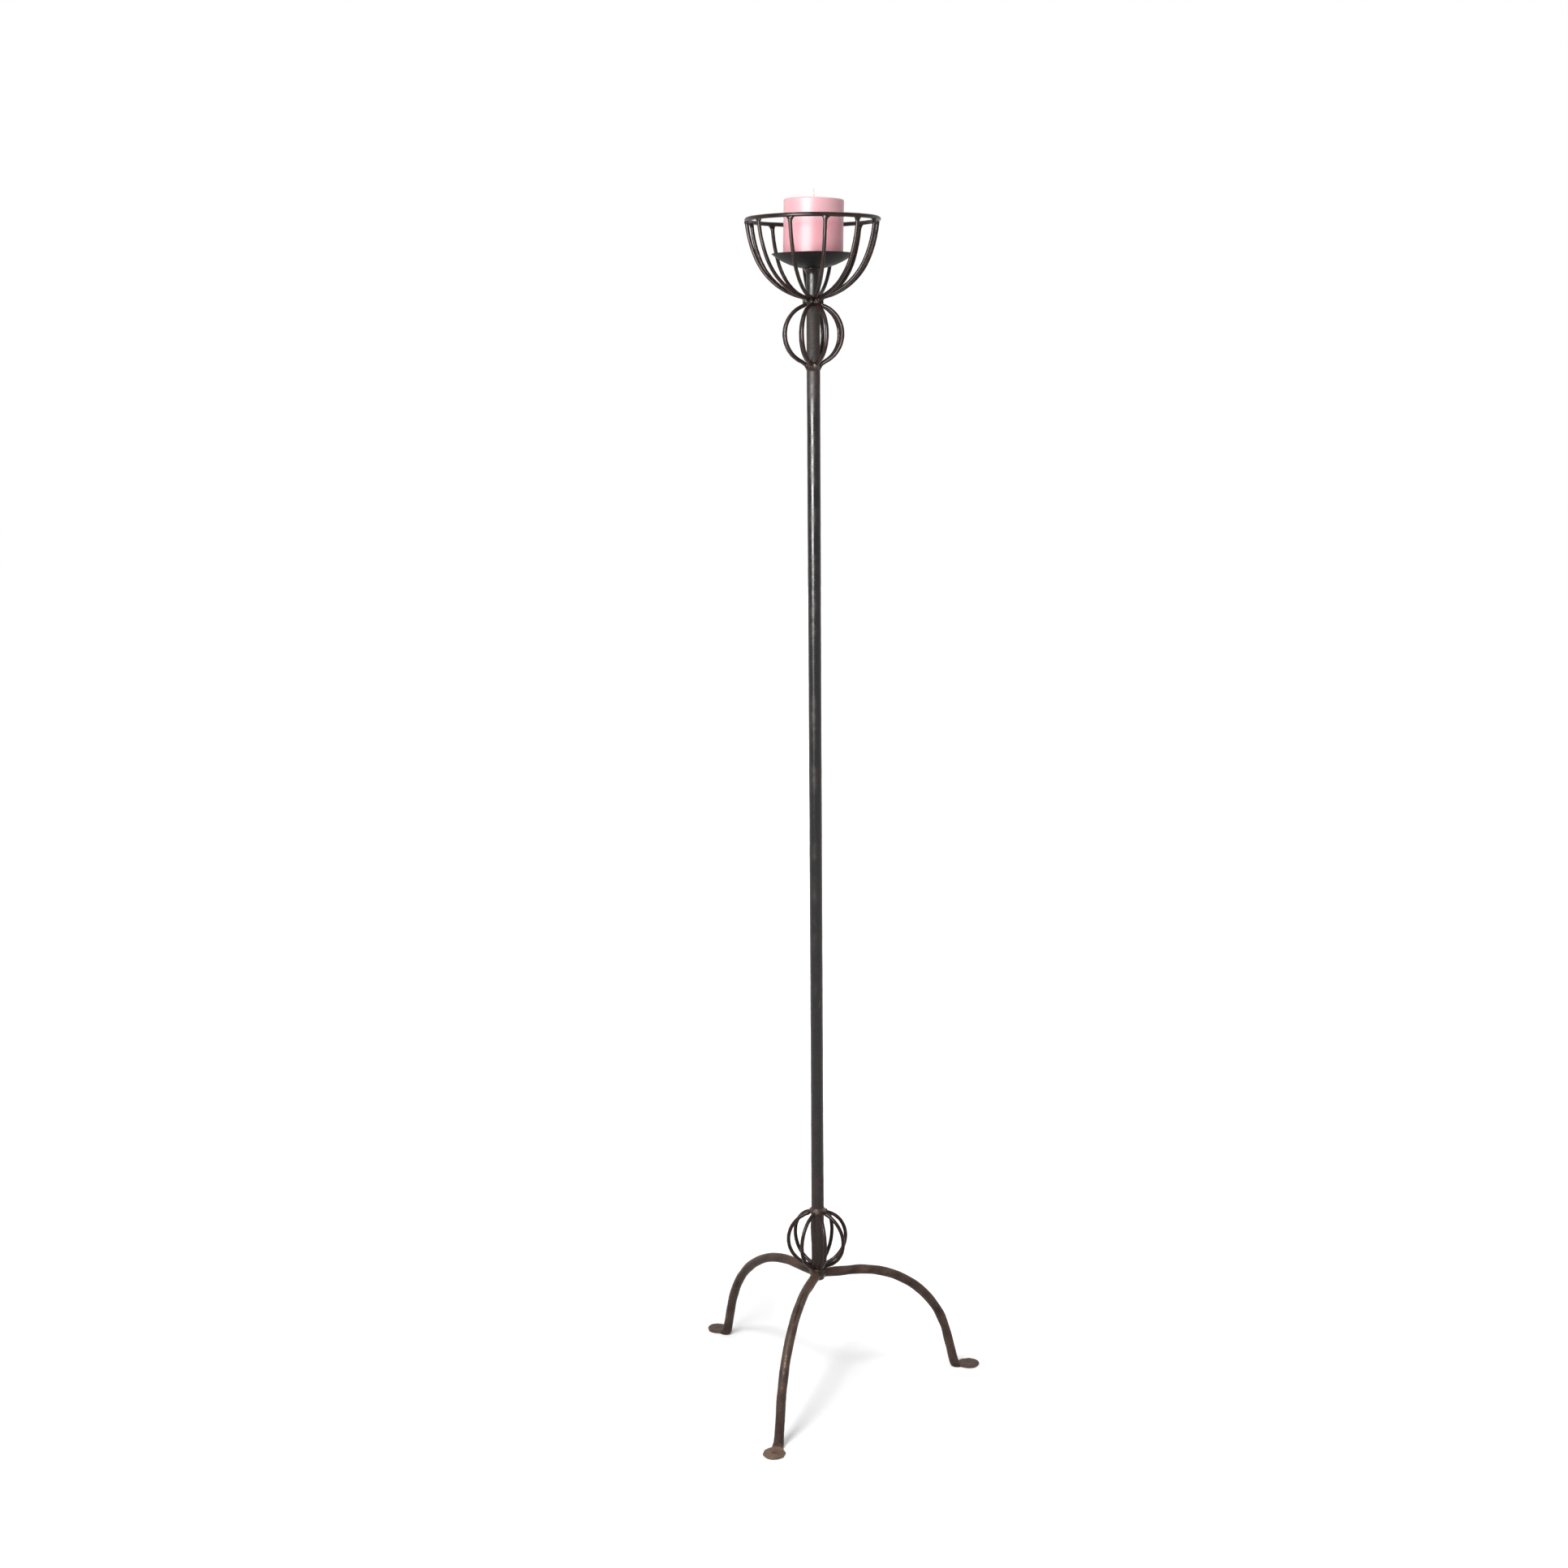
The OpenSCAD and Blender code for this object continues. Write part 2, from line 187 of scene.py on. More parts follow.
def closed_grid(grid, first, looped):
    """A grid's points, outward quads and fans, grain and tone. Its corners count from `first`.
    The grain is the distance along and two coordinates round the section, so that drawn streaks
    follow the bar."""
    points = grid["points"]
    rows, columns = points.shape[:2]
    around = angles(columns)
    grain = np.empty((rows, columns, 3))
    grain[..., 0] = np.asarray(grid["along"])[:, None]
    grain[..., 1], grain[..., 2] = grid["girth"] * np.cos(around), grid["girth"] * np.sin(around)
    flat, grain = points.reshape(-1, 3), grain.reshape(-1, 3)
    tone = np.broadcast_to(grid.get("tone", 0.0), (rows, columns)).reshape(-1)
    if not looped:
        flat = np.concatenate((flat, points[[0, -1]].mean(axis=1)))
        grain = np.concatenate((grain, grain[[0, -1]]))
        tone = np.concatenate((tone, tone[[0, -1]]))
    quads, fans = grid_faces(rows, columns, looped)
    if volume_sign(flat - flat.mean(axis=0), quads, fans) < 0:
        quads, fans = quads[:, ::-1], fans[:, ::-1]
    return flat, quads + first, fans + first, grain, tone


def mesh_piece(name, grids, material, stands_for, body="stand", looped=False):
    """One object from one or more grids of points in millimetres. A grid is a dict: points
    (rows, columns, 3), along (rows) for the distance along the piece, girth for the section's
    radius, and tone at each point: -1 in a black crack, 0 for plain metal, 1 for brown and 2 for
    rubbed bright metal; on some pieces the tone also carries painted light and painted highlights."""
    parts, first = [], 0
    for grid in grids:
        parts.append(closed_grid(grid, first, looped))
        first += len(parts[-1][0])
    points, quads, fans, grains, tones = (np.concatenate(part) for part in zip(*parts))
    starts = np.concatenate((np.arange(len(quads)) * 4, len(quads) * 4 + np.arange(len(fans)) * 3))
    corners = np.concatenate((quads.ravel(), fans.ravel()))
    data = bpy.data.meshes.new(name)
    data.vertices.add(len(points))
    data.vertices.foreach_set("co", (points * MM).astype(np.float32).ravel())
    data.loops.add(len(corners))
    data.loops.foreach_set("vertex_index", corners.astype(np.int32))
    data.polygons.add(len(starts))
    data.polygons.foreach_set("loop_start", starts.astype(np.int32))
    data.update(calc_edges=True)
    data.shade_smooth()
    grain = data.attributes.new("grain", "FLOAT_VECTOR", "POINT")
    grain.data.foreach_set("vector", (grains * MM).astype(np.float32).ravel())
    tone = data.attributes.new("tone", "FLOAT", "POINT")
    tone.data.foreach_set("value", tones.astype(np.float32))
    data.materials.append(material)
    piece = bpy.data.objects.new(name, data)
    bpy.context.scene.collection.objects.link(piece)
    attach(piece, body)
    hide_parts(*stands_for)


def walk(start, heading, steps):
    """A bar bent in one plane: the distance along it, its points [out, up] and its headings.
    Each step is a length and the degrees that the bar turns over it. The heading is the running
    sum of the turning, and the points are the running sum of short moves along the heading."""
    short_move = 0.25
    length = np.array([step[0] for step in steps], float)
    turning = np.radians([step[1] for step in steps])
    moves = np.maximum(2, np.ceil(length / short_move)).astype(int)
    move = np.repeat(length / moves, moves)
    heads = math.radians(heading) + np.concatenate(([0], np.cumsum(np.repeat(turning / moves, moves))))
    middle = (heads[:-1] + heads[1:]) / 2
    shift = np.stack((np.cos(middle), np.sin(middle)), 1) * move[:, None]
    points = np.array(start, float) + np.concatenate((np.zeros((1, 2)), np.cumsum(shift, axis=0)))
    return np.concatenate(([0], np.cumsum(move))), points, heads


def extend(walked, more):
    """The same walk, carried straight on past its end."""
    along, line, heads = walked
    ahead = np.array([math.cos(heads[-1]), math.sin(heads[-1])])
    return (np.append(along, along[-1] + more), np.concatenate((line, [line[-1] + more * ahead])),
            np.append(heads, heads[-1]))


def row_places(length, spacing, blunt):
    """Distances along a bar for its rows: even between the ends, and closer and closer over the
    last `blunt` millimetres, where the bar's edge is rounded."""
    end_rows = 6
    near = blunt * (1 - np.cos(np.linspace(0, math.pi / 2, end_rows)))
    middle = np.linspace(blunt, length - blunt, max(3, math.ceil((length - 2 * blunt) / spacing)))
    return np.concatenate((near, middle[1:-1], (length - near)[::-1]))


def edge_loss(places, length, blunt):
    """How much a rounded edge takes off the section: a quarter circle at each end."""
    near = np.clip(1 - np.minimum(places, length - places) / blunt, 0, 1)
    return blunt * (1 - np.sqrt(1 - near ** 2))


def bent_bar(walked, places, turn, wide, thick, sides, square, uneven, press=0.0):
    """Sections carried along a bent bar that stands at `turn` degrees round the column. A section
    is a superellipse, half `wide` across the bar's plane and half `thick` in it; its power
    `square` is 2 for an ellipse and more for a flatter form. `uneven` is added all round, and
    the bar is pressed in towards the column by `press`."""
    along, line, heads = walked
    out, up = np.interp(places, along, line[:, 0]) - press, np.interp(places, along, line[:, 1])
    head = np.interp(places, along, heads)
    around = angles(sides)
    power = 2 / np.broadcast_to(square, places.shape)[:, None]
    across = np.sign(np.cos(around)) * np.abs(np.cos(around)) ** power
    over = np.sign(np.sin(around)) * np.abs(np.sin(around)) ** power
    side = (np.reshape(wide, (len(places), -1)) + uneven) * across
    lift = (np.reshape(thick, (len(places), -1)) + uneven) * over
    radial = out[:, None] - lift * np.sin(head)[:, None]
    height = up[:, None] + lift * np.cos(head)[:, None]
    angle = np.radians(np.broadcast_to(turn, places.shape))[:, None]
    return np.stack((radial * np.cos(angle) - side * np.sin(angle),
                     radial * np.sin(angle) + side * np.cos(angle),
                     height), -1)


def turned(radius, height, sides, off=0.0):
    """A turned form: a profile of radii and heights carried round the column's centre line, with
    `off` added to the radius at each row and column."""
    around = angles(sides)
    reach = np.asarray(radius, float)[:, None] + off + np.zeros(sides)
    return np.stack((reach * np.cos(around), reach * np.sin(around),
                     np.broadcast_to(np.asarray(height, float)[:, None], reach.shape)), -1)


def ring_rod(path, outward, radius, sides):
    """A rod bent to a ring: a round section of the given radii carried round a closed path.
    `outward` is a direction at each point that isn't along the path."""
    ahead = np.roll(path, -1, axis=0) - np.roll(path, 1, axis=0)
    ahead /= np.linalg.norm(ahead, axis=1, keepdims=True)
    across = outward - np.sum(outward * ahead, axis=1, keepdims=True) * ahead
    across /= np.linalg.norm(across, axis=1, keepdims=True)
    third = np.cross(ahead, across)
    around = angles(sides)[:, None]
    section = np.cos(around) * across[:, None] + np.sin(around) * third[:, None]
    return path[:, None] + radius[..., None] * section


# ---------------------------------------------------------------------------
# Materials
# ---------------------------------------------------------------------------

def srgb(red, green, blue):
    """A colour written as it shows, 0 to 255, in the linear values that the shader takes."""
    shown = np.array([red, green, blue]) / 255
    linear = np.where(shown <= 0.04045, shown / 12.92, ((shown + 0.055) / 1.055) ** 2.4)
    return (*linear.tolist(), 1.0)


def fill(tree, shader_node, inputs):
    """Gives a node's sockets their links and their plain values."""
    for socket, value in inputs.items():
        if isinstance(value, bpy.types.NodeSocket):
            tree.links.new(value, shader_node.inputs[socket])
        else:
            shader_node.inputs[socket].default_value = value


def node(tree, kind, inputs=None, **settings):
    """A new shader node with its settings, its links and its plain input values."""
    made = tree.nodes.new(kind)
    for key, value in settings.items():
        setattr(made, key, value)
    fill(tree, made, inputs or {})
    return made


def object_place(tree):
    """The point's own place on the object, in metres."""
    return node(tree, "ShaderNodeTexCoord").outputs["Object"]


def noise(tree, place, scale, detail, roughness=0.55):
    """Cloudy noise of about `scale` waves to the metre."""
    made = node(tree, "ShaderNodeTexNoise", {"Vector": place, "Scale": scale, "Detail": detail,
                                             "Roughness": roughness})
    return made.outputs["Fac"]


def spread(tree, value, low, high, to_low=0.0, to_high=1.0):
    """Maps low..high of a value to to_low..to_high and holds it there."""
    made = node(tree, "ShaderNodeMapRange", {"Value": value, "From Min": low, "From Max": high,
                                             "To Min": to_low, "To Max": to_high})
    return made.outputs["Result"]


def blend_colour(tree, share, first, second):
    """The first colour, with a share of the second."""
    made = node(tree, "ShaderNodeMix", data_type="RGBA")
    places = [next(k for k, s in enumerate(made.inputs) if s.name == wanted and s.enabled)
              for wanted in ("Factor", "A", "B")]
    fill(tree, made, dict(zip(places, (share, first, second))))
    return next(s for s in made.outputs if s.enabled)


def figure(tree, operation, first, second):
    """Two values added, multiplied, or the greater of them."""
    return node(tree, "ShaderNodeMath", {0: first, 1: second}, operation=operation).outputs[0]


def bumped(tree, height, strength, depth):
    """The surface's direction where a height pattern raises and sinks it, `depth` metres deep."""
    made = node(tree, "ShaderNodeBump", {"Height": height, "Strength": strength, "Distance": depth})
    return made.outputs[0]


def new_material(name):
    """A material with its tree and its Principled shader."""
    made = bpy.data.materials.new(name)
    made.use_nodes = True
    tree = made.node_tree
    return made, tree, tree.nodes["Principled BSDF"]


# Waves to the metre of the iron's marks
CLOUD_SCALE, DENT_SCALE, SPECK_SCALE, STREAK_SCALE, PIT_SCALE = 42, 300, 330, 620, 950
CRACK_BLACK = srgb(10, 7, 6)


def iron(name, plain, brown, wear_and_highlight, gloss, dulled, shine, pits):
    """Oiled iron. Its tone attribute runs from plain to brown and on to rubbed bright metal, and
    below 0 to a black crack; where a piece paints light into its tone, the brown and the bright
    colours carry that painted light and painted highlight. Soft clouds and small specks break the
    tone up, faint streaks follow the drawn bar, and fine pits cover it. gloss is the roughness of
    the plain metal, dulled is how much rougher the browned metal is, shine is the specular level,
    and pits is the depth of the bumps in metres."""
    made, tree, shader = new_material(name)
    place = object_place(tree)
    grain = node(tree, "ShaderNodeAttribute", attribute_name="grain").outputs["Vector"]
    drawn = node(tree, "ShaderNodeMapping", {"Vector": grain, "Scale": (0.08, 1, 1)}).outputs[0]
    tone = node(tree, "ShaderNodeAttribute", attribute_name="tone").outputs["Fac"]
    cloud = spread(tree, noise(tree, place, CLOUD_SCALE, 4, 0.6), 0.3, 0.7, -0.45, 0.45)
    specks = spread(tree, noise(tree, place, SPECK_SCALE, 4, 0.62), 0.56, 0.78, 0.0, 0.5)
    streaks = spread(tree, noise(tree, drawn, STREAK_SCALE, 3), 0.4, 0.7, 0.0, 0.3)
    fine = noise(tree, place, PIT_SCALE, 3)
    browned = spread(tree, figure(tree, "ADD", tone, cloud), -0.1, 1.0)
    colour = blend_colour(tree, browned, plain, brown)
    colour = blend_colour(tree, streaks, colour, brown)
    colour = blend_colour(tree, figure(tree, "MULTIPLY", specks, browned), colour, wear_and_highlight)
    # Tones above 1.15 go to the bright colour: rubbed metal, and also painted highlights carried in the tone.
    rubbed = spread(tree, figure(tree, "ADD", tone, figure(tree, "MULTIPLY", cloud, 0.5)), 1.15, 1.95)
    colour = blend_colour(tree, rubbed, colour, wear_and_highlight)
    colour = blend_colour(tree, spread(tree, tone, -0.15, -0.8), colour, CRACK_BLACK)
    rough = figure(tree, "ADD", spread(tree, fine, 0.3, 0.7, gloss - 0.03, gloss + 0.05),
                   figure(tree, "MULTIPLY", browned, dulled))
    height = figure(tree, "ADD", streaks, figure(tree, "MULTIPLY", fine, 0.7))
    dents = figure(tree, "MULTIPLY", noise(tree, place, DENT_SCALE, 4), 1.3)
    height = figure(tree, "ADD", height, dents)
    fill(tree, shader, {"Base Color": colour, "Roughness": rough, "Specular IOR Level": shine,
                        "Normal": bumped(tree, height, 0.6, pits)})
    return made


def wax(name, pink, pale, pale_from):
    """Smooth coloured wax: light goes a little way into it, its colour is faintly clouded, and
    above the height pale_from it is painted paler, so that the wax below, inside the basket,
    keeps a painted shade."""
    made, tree, shader = new_material(name)
    place = object_place(tree)
    height = node(tree, "ShaderNodeSeparateXYZ", {"Vector": place}).outputs["Z"]
    cloud = noise(tree, place, 40, 4)
    edge = figure(tree, "ADD", height, figure(tree, "MULTIPLY", cloud, 0.006))
    clear_of_basket_shade = spread(tree, edge, pale_from, pale_from + 0.008)
    specks = spread(tree, noise(tree, place, 500, 3), 0.5, 0.75, 0.0, 0.16)
    colour = blend_colour(tree, spread(tree, cloud, 0.3, 0.7, 0.0, 0.14), pink, pale)
    colour = blend_colour(tree, specks, colour, pale)
    # Painted shade: the wax is mixed paler only above pale_from, so the part inside the basket stays darker.
    colour = blend_colour(tree, figure(tree, "MULTIPLY", clear_of_basket_shade, 0.4), colour, pale)
    fill(tree, shader, {"Base Color": colour, "Roughness": spread(tree, cloud, 0.3, 0.7, 0.36, 0.44),
                        "Normal": bumped(tree, noise(tree, place, 160, 4), 0.2, 0.0001),
                        "Specular IOR Level": 0.3, "Subsurface Weight": 0.2,
                        "Subsurface Radius": (1.0, 0.4, 0.35), "Subsurface Scale": 0.004})
    return made


def cotton(name, pale, waxed):
    """Waxed cotton wick: pale thread with darker, waxier patches and a fuzzy bump."""
    made, tree, shader = new_material(name)
    place = object_place(tree)
    colour = blend_colour(tree, spread(tree, noise(tree, place, 900, 4), 0.4, 0.7), pale, waxed)
    fill(tree, shader, {"Base Color": colour, "Roughness": 0.75,
                        "Normal": bumped(tree, noise(tree, place, 4000, 2), 0.5, 0.0001)})
    return made


COLUMN_IRON = iron("column_iron", srgb(17, 16, 16), srgb(44, 32, 29), srgb(90, 80, 73),
                   gloss=0.19, dulled=0.5, shine=0.26, pits=0.00003)
ROD_IRON = iron("rod_iron", srgb(26, 15, 13), srgb(56, 36, 30), srgb(104, 80, 70),
                gloss=0.23, dulled=0.2, shine=0.15, pits=0.00003)
LEG_IRON = iron("leg_iron", srgb(44, 33, 29), srgb(90, 71, 61), srgb(152, 126, 106),
                gloss=0.32, dulled=0.2, shine=0.15, pits=0.00018)
WELD_METAL = iron("weld_metal", srgb(22, 16, 14), srgb(76, 59, 50), srgb(134, 114, 98),
                  gloss=0.24, dulled=0.2, shine=0.16, pits=0.00008)
DISH_STEEL = iron("dish_steel", srgb(18, 17, 17), srgb(32, 26, 24), srgb(60, 48, 44),
                  gloss=0.5, dulled=0.2, shine=0.1, pits=0.0001)
# pale_from sits just under the rim: the wax below it keeps a painted shade.
CANDLE_WAX = wax("candle_wax", srgb(238, 166, 176), srgb(246, 206, 211), (RIM_Z - 4) * MM)
WICK_COTTON = cotton("wick_cotton", srgb(250, 246, 236), srgb(238, 230, 212))


# ---------------------------------------------------------------------------
# The stand
# ---------------------------------------------------------------------------

def column_nick(heights, around):
    """A shallow, slanted nick: 1 in its middle, and falling off as a bell up and round the
    column."""
    nick_z, nick_turn, slant = 547, math.radians(-41), 0.014
    half_high, half_wide = 7, 0.11
    past = heights[:, None] - nick_z
    aside = np.sin((around - nick_turn - slant * past) / 2)
    return np.exp(-(past / half_high) ** 2 - (aside / half_wide) ** 2)


def column_heat(level):
    """How brown the welder's heat has left the column: most in the balls, less and less over the
    length of a hand beyond them, and little above the neck."""
    low = 1.0 - 0.3 * ease(level, LOWER_TOP - 15, LOWER_TOP) - 0.7 * ease(level, LOWER_TOP, LOWER_TOP + 180)
    rising = low + 0.5 * ease(level, UPPER_FOOT - 110, UPPER_FOOT)
    return (rising + 0.5 * ease(level, UPPER_FOOT, UPPER_FOOT + 15)
            - 0.8 * ease(level, UPPER_TOP - 10, UPPER_TOP + 15))


def column():
    """The tube: outer wall, top edge, inner wall and foot edge as one turned loop of rows. The
    outer wall is a few hundredths uneven, so that its highlight wavers, and has one shallow nick,
    rubbed bright."""
    rows, sides, edge, inner_step = 700, 56, 0.4, 20
    waver, nick_deep, nick_tone = 0.03, 0.3, 1.6
    heights, around = np.linspace(COLUMN_FOOT, COLUMN_TOP, rows), angles(sides)
    nick = column_nick(heights, around)
    off = waver * bumps(heights, around, 11, 90, 3) + waver * bumps(heights, around, 12, 16, 4)
    off = off - nick_deep * nick
    outer_r = COLUMN_R - edge_loss(heights - COLUMN_FOOT, COLUMN_TOP - COLUMN_FOOT, edge)
    inner = heights[::-1][::inner_step]
    smooth = np.zeros((len(inner), sides))
    radius = np.concatenate((outer_r, np.full(len(inner), COLUMN_R - COLUMN_WALL)))
    level = np.concatenate((heights, inner))
    rubbed = np.concatenate((np.minimum(2.5 * nick, nick_tone), smooth))
    grid = {"points": turned(radius, level, sides, np.concatenate((off, smooth))), "along": level,
            "girth": COLUMN_R, "tone": column_heat(level)[:, None] + rubbed}
    mesh_piece("column", [grid], COLUMN_IRON, ["column_tube"], looped=True)


def leg_walk():
    """Level run, arch, straight shin, heel bend and level foot; the shin's and the foot's lines
    meet at the heel's corner, which the heel bend rounds off. Also the distance along to the end
    of each, and the foot's radius round the column."""
    arch_z = LEG_LEVEL - LEG_BEND_R
    splay = math.radians(LEG_SPLAY)
    knee = np.array([LEG_RUN + LEG_BEND_R * math.cos(splay), arch_z + LEG_BEND_R * math.sin(splay)])
    heel_r = knee[0] + knee[1] * math.tan(splay)
    corner = np.array([heel_r - FOOT_HALF_T * math.tan(splay), FOOT_HALF_T])
    down = 90 - LEG_SPLAY
    cut_back = HEEL_BEND_R * math.tan(math.radians(down / 2))
    shin = np.linalg.norm(corner - knee) - cut_back
    foot_r = heel_r + FOOT_REACH
    sole = foot_r + FOOT_R - corner[0] - cut_back
    steps = [(LEG_RUN - INSIDE_WALL, 0), (LEG_BEND_R * math.radians(down), -down), (shin, 0),
             (HEEL_BEND_R * math.radians(down), down), (sole, 0)]
    lengths = np.cumsum([step[0] for step in steps])
    return walk((INSIDE_WALL, LEG_LEVEL), 0, steps), lengths, foot_r


def leg_rows(lengths):
    """Distances along a leg for its rows: even to the sole, then closer and closer to its tip."""
    even_rows, tip_rows = 470, 90
    sole_start = lengths[3]
    even = np.linspace(0, sole_start, even_rows)
    tip_length = lengths[-1] - sole_start - 0.004
    tip = sole_start + tip_length * np.sin(np.linspace(0, math.pi / 2, tip_rows))
    return np.concatenate((even, tip[1:]))


def leg_section(places, around, walked, lengths, foot_r):
    """A leg's half-width, half-thickness and power at each row, and how far each row is through
    the heel bend. The half-width grows a little at the heel and then follows the disc's edge, and
    the half-thickness falls through the heel bend to the foot's, which has a rounded tip."""
    heel_start, sole_start = lengths[2], lengths[3]
    out, head = np.interp(places, walked[0], walked[1][:, 0]), np.interp(places, walked[0], walked[2])
    through = np.clip((places - heel_start) / (sole_start - heel_start), 0, 1)
    flat = 1 - through ** 4.5
    thick = FOOT_HALF_T + (LEG_R - FOOT_HALF_T) * flat
    square = 2 + 1.6 * ease(through, 0.3, 1.0)
    over = np.sign(np.sin(around)) * np.abs(np.sin(around)) ** (2 / square)[:, None]
    skin_out = out[:, None] - (thick * np.sin(head))[:, None] * over
    disc = np.sqrt(np.clip(FOOT_R ** 2 - (skin_out - foot_r) ** 2, 0, None))
    bar = LEG_R + (HEEL_HALF_W - LEG_R) * ease(places, heel_start - 9, sole_start)
    bar = bar * (1 - ease(out, foot_r - 5, foot_r))
    wide = (bar[:, None] ** 5 + disc ** 5) ** (1 / 5)
    edge = 0.5
    near_tip = np.clip(1 - (lengths[-1] - places) / edge, 0, 1)
    return wide, thick - edge * (1 - np.sqrt(1 - near_tip ** 2)), square, through


def crack(places, around):
    """A hairline crack along a bar: 1 on its line and 0 a few degrees off it, with ends that
    fade; the line winds a few degrees round the bar."""
    start, length, turn, wander, wind, half_wide = 68, 58, 74, 6, 2.3, 0.14
    run = (places - start) / length
    line = math.radians(turn) + math.radians(wander) * np.sin(wind * np.pi * run)
    apart = np.angle(np.exp(1j * (around[None, :] - line[:, None])))
    ends = ease(run, 0, 0.12) * (1 - ease(run, 0.8, 1.0))
    return ends[:, None] * np.exp(-(apart / half_wide) ** 2)


def rubbed_and_highlight_streak(places, around, seed):
    """A broken bright streak along a bar's top, in a long stretch and a weaker short one: rubbed
    metal, partly a painted highlight.
    """
    turn, half_wide = 78, 13
    line = np.exp(-((np.degrees(around) - turn) / half_wide) ** 2)[None, :]
    broken = line * np.clip(1.3 + 0.8 * bumps(places, around, seed, 6, 4), 0, 2)
    long = ease(places, 158, 166) * (1 - ease(places, 184, 194))
    short = 0.5 * ease(places, 196, 200) * (1 - ease(places, 206, 214))
    return 0.9 * (long + short)[:, None] * broken


def dent_foot(points, places, around, flat_part, turn, foot_r, seed):
    """Sinks a hammered dimple and small dents into the top of a foot, and keeps its sole on the
    floor. The dimple, which is given back, is a bell round the foot's middle."""
    dimple_deep, dimple_r, dent_deep = 0.6, 4.0, 0.14
    angle = math.radians(turn)
    middle = np.array([foot_r * math.cos(angle), foot_r * math.sin(angle)])
    dimple = np.exp(-(np.linalg.norm(points[..., :2] - middle, axis=-1) / dimple_r) ** 2)
    dents = dimple_deep * dimple + dent_deep * (1 + bumps(places, around, seed, 11, 5))
    points[..., 2] -= flat_part * dents * np.clip(np.sin(around), 0, 1)[None, :]
    points[..., 2] = np.maximum(points[..., 2], 0)
    return dimple


def leg(name, seed, tint, foot_tint):
    """One bar: round down to the heel, then forged out flat into a round foot with a nibbled
    edge; hammering leaves it uneven by a few tenths. Its upper side is painted lighter brown as
    painted light from above, a band at the top of the heel bend is a painted highlight, its foot
    has its own tone, and the front bar has a crack and a rubbed streak that is partly a painted
    highlight."""
    sides, crack_deep, just_inside = 48, 0.45, 0.9999
    walked, lengths, foot_r = leg_walk()
    places, around = leg_rows(lengths), angles(sides)
    wide, thick, square, through = leg_section(places, around, walked, lengths, foot_r)
    heel_start, sole_start, front = lengths[2], lengths[3], name == "leg_front"
    split = crack(places, around) if front else np.zeros((len(places), sides))
    hammered = 0.22 * bumps(places, around, seed, 48, 2) + 0.04 * bumps(places, around, seed + 1, 16, 4)
    uneven = (hammered - crack_deep * split) * (1 - ease(through, 0.2, 0.9))[:, None]
    flat_part = ease(places, sole_start - 2, sole_start + 4)[:, None]
    nibbled = 0.4 * flat_part * np.clip(1 + bumps(places, around, seed + 6, 16, 3), 0, 3)
    points = bent_bar(walked, places, LEG_TURNS[name], wide - nibbled, thick, sides, square, uneven)
    dimple = dent_foot(points, places, around, flat_part, LEG_TURNS[name], foot_r, seed + 2)
    points[..., :2] *= just_inside
    # Painted light: the upper side of the run and the arch is drawn lighter brown, as if lit from above.
    painted_light_upper_side = np.clip(np.sin(around), 0, 1)[None, :] * (1 - ease(places, lengths[0], heel_start))[:, None]
    tone = tint + 0.45 * painted_light_upper_side + 0.12 * bumps(places, around, seed + 3, 45, 2)
    # Painted highlight: a lighter band on the upper side where the shin bends into the foot.
    heel_highlight = ease(places, sole_start - 5, sole_start - 1) * (1 - ease(places, sole_start + 1, sole_start + 5))
    tone = tone + (foot_tint - 0.5 * dimple - tone) * flat_part - 1.4 * split
    tone = tone + 0.5 * heel_highlight[:, None] * (np.sin(around) > 0.2)
    # The front bar's bright streak is rubbed metal, partly a painted highlight.
    if front:
        tone = tone + rubbed_and_highlight_streak(places, around, seed + 4)
    grid = {"points": points, "along": places, "girth": LEG_R, "tone": np.clip(tone, -1, 2)}
    mesh_piece(name + "_bar", [grid], LEG_IRON, [name])


def rod(name, walked, turn, radius, seed, tint, drawn_out=False, sway=(0, 0)):
    """A bent rod with cut ends, whose radius wavers by a few hundredths. A drawn-out foot is
    pressed in against the column and thins over its last few millimetres. sway is how far its
    foot and its top lean round the column, in degrees."""
    spacing, blunt, sides, swayed = 0.9, 0.7, 22, 16
    pressed, pressed_over, thinned, thinned_over = 3.6, 13, 1.2, 8
    total = walked[0][-1]
    places, around = row_places(total, spacing, blunt), angles(sides)
    uneven = 0.05 * bumps(places, around, seed, 14, 3)
    press = pressed * (1 - ease(places, 0, pressed_over)) if drawn_out else 0.0
    loss = thinned * (1 - ease(places, 0, thinned_over)) if drawn_out else 0.0
    section_r = radius - edge_loss(places, total, blunt) - loss
    turn = turn + sway[0] * (1 - ease(places, 0, swayed)) + sway[1] * ease(places, total - swayed, total)
    points = bent_bar(walked, places, turn, section_r, section_r, sides, 2.0, uneven, press)
    tone = tint + 0.22 * bumps(places, around, seed + 1, 40, 2)
    grid = {"points": points, "along": places, "girth": radius, "tone": np.clip(tone, 0, 1)}
    mesh_piece(name + "_rod", [grid], ROD_IRON, [name])


def loop_walk(foot, ball_r, bend_r, low, high):
    """Up along the column, off it round the end bend, round the ball's main arc and back on to
    the column; each end bend turns until the main arc can carry the rod to the ball's radius.
    low and high are each the bend radius and the length along the column of an end."""
    off_low = math.degrees(math.acos(1 - (ball_r - LOOP_SEAT_R) / (bend_r + low[0])))
    off_high = math.degrees(math.acos(1 - (ball_r - LOOP_SEAT_R) / (bend_r + high[0])))
    steps = [(low[1], 0), (low[0] * math.radians(off_low), -off_low),
             (bend_r * math.radians(off_low + off_high), off_low + off_high),
             (high[0] * math.radians(off_high), -off_high), (high[1], 0)]
    return walk((LOOP_SEAT_R, foot), 90, steps)


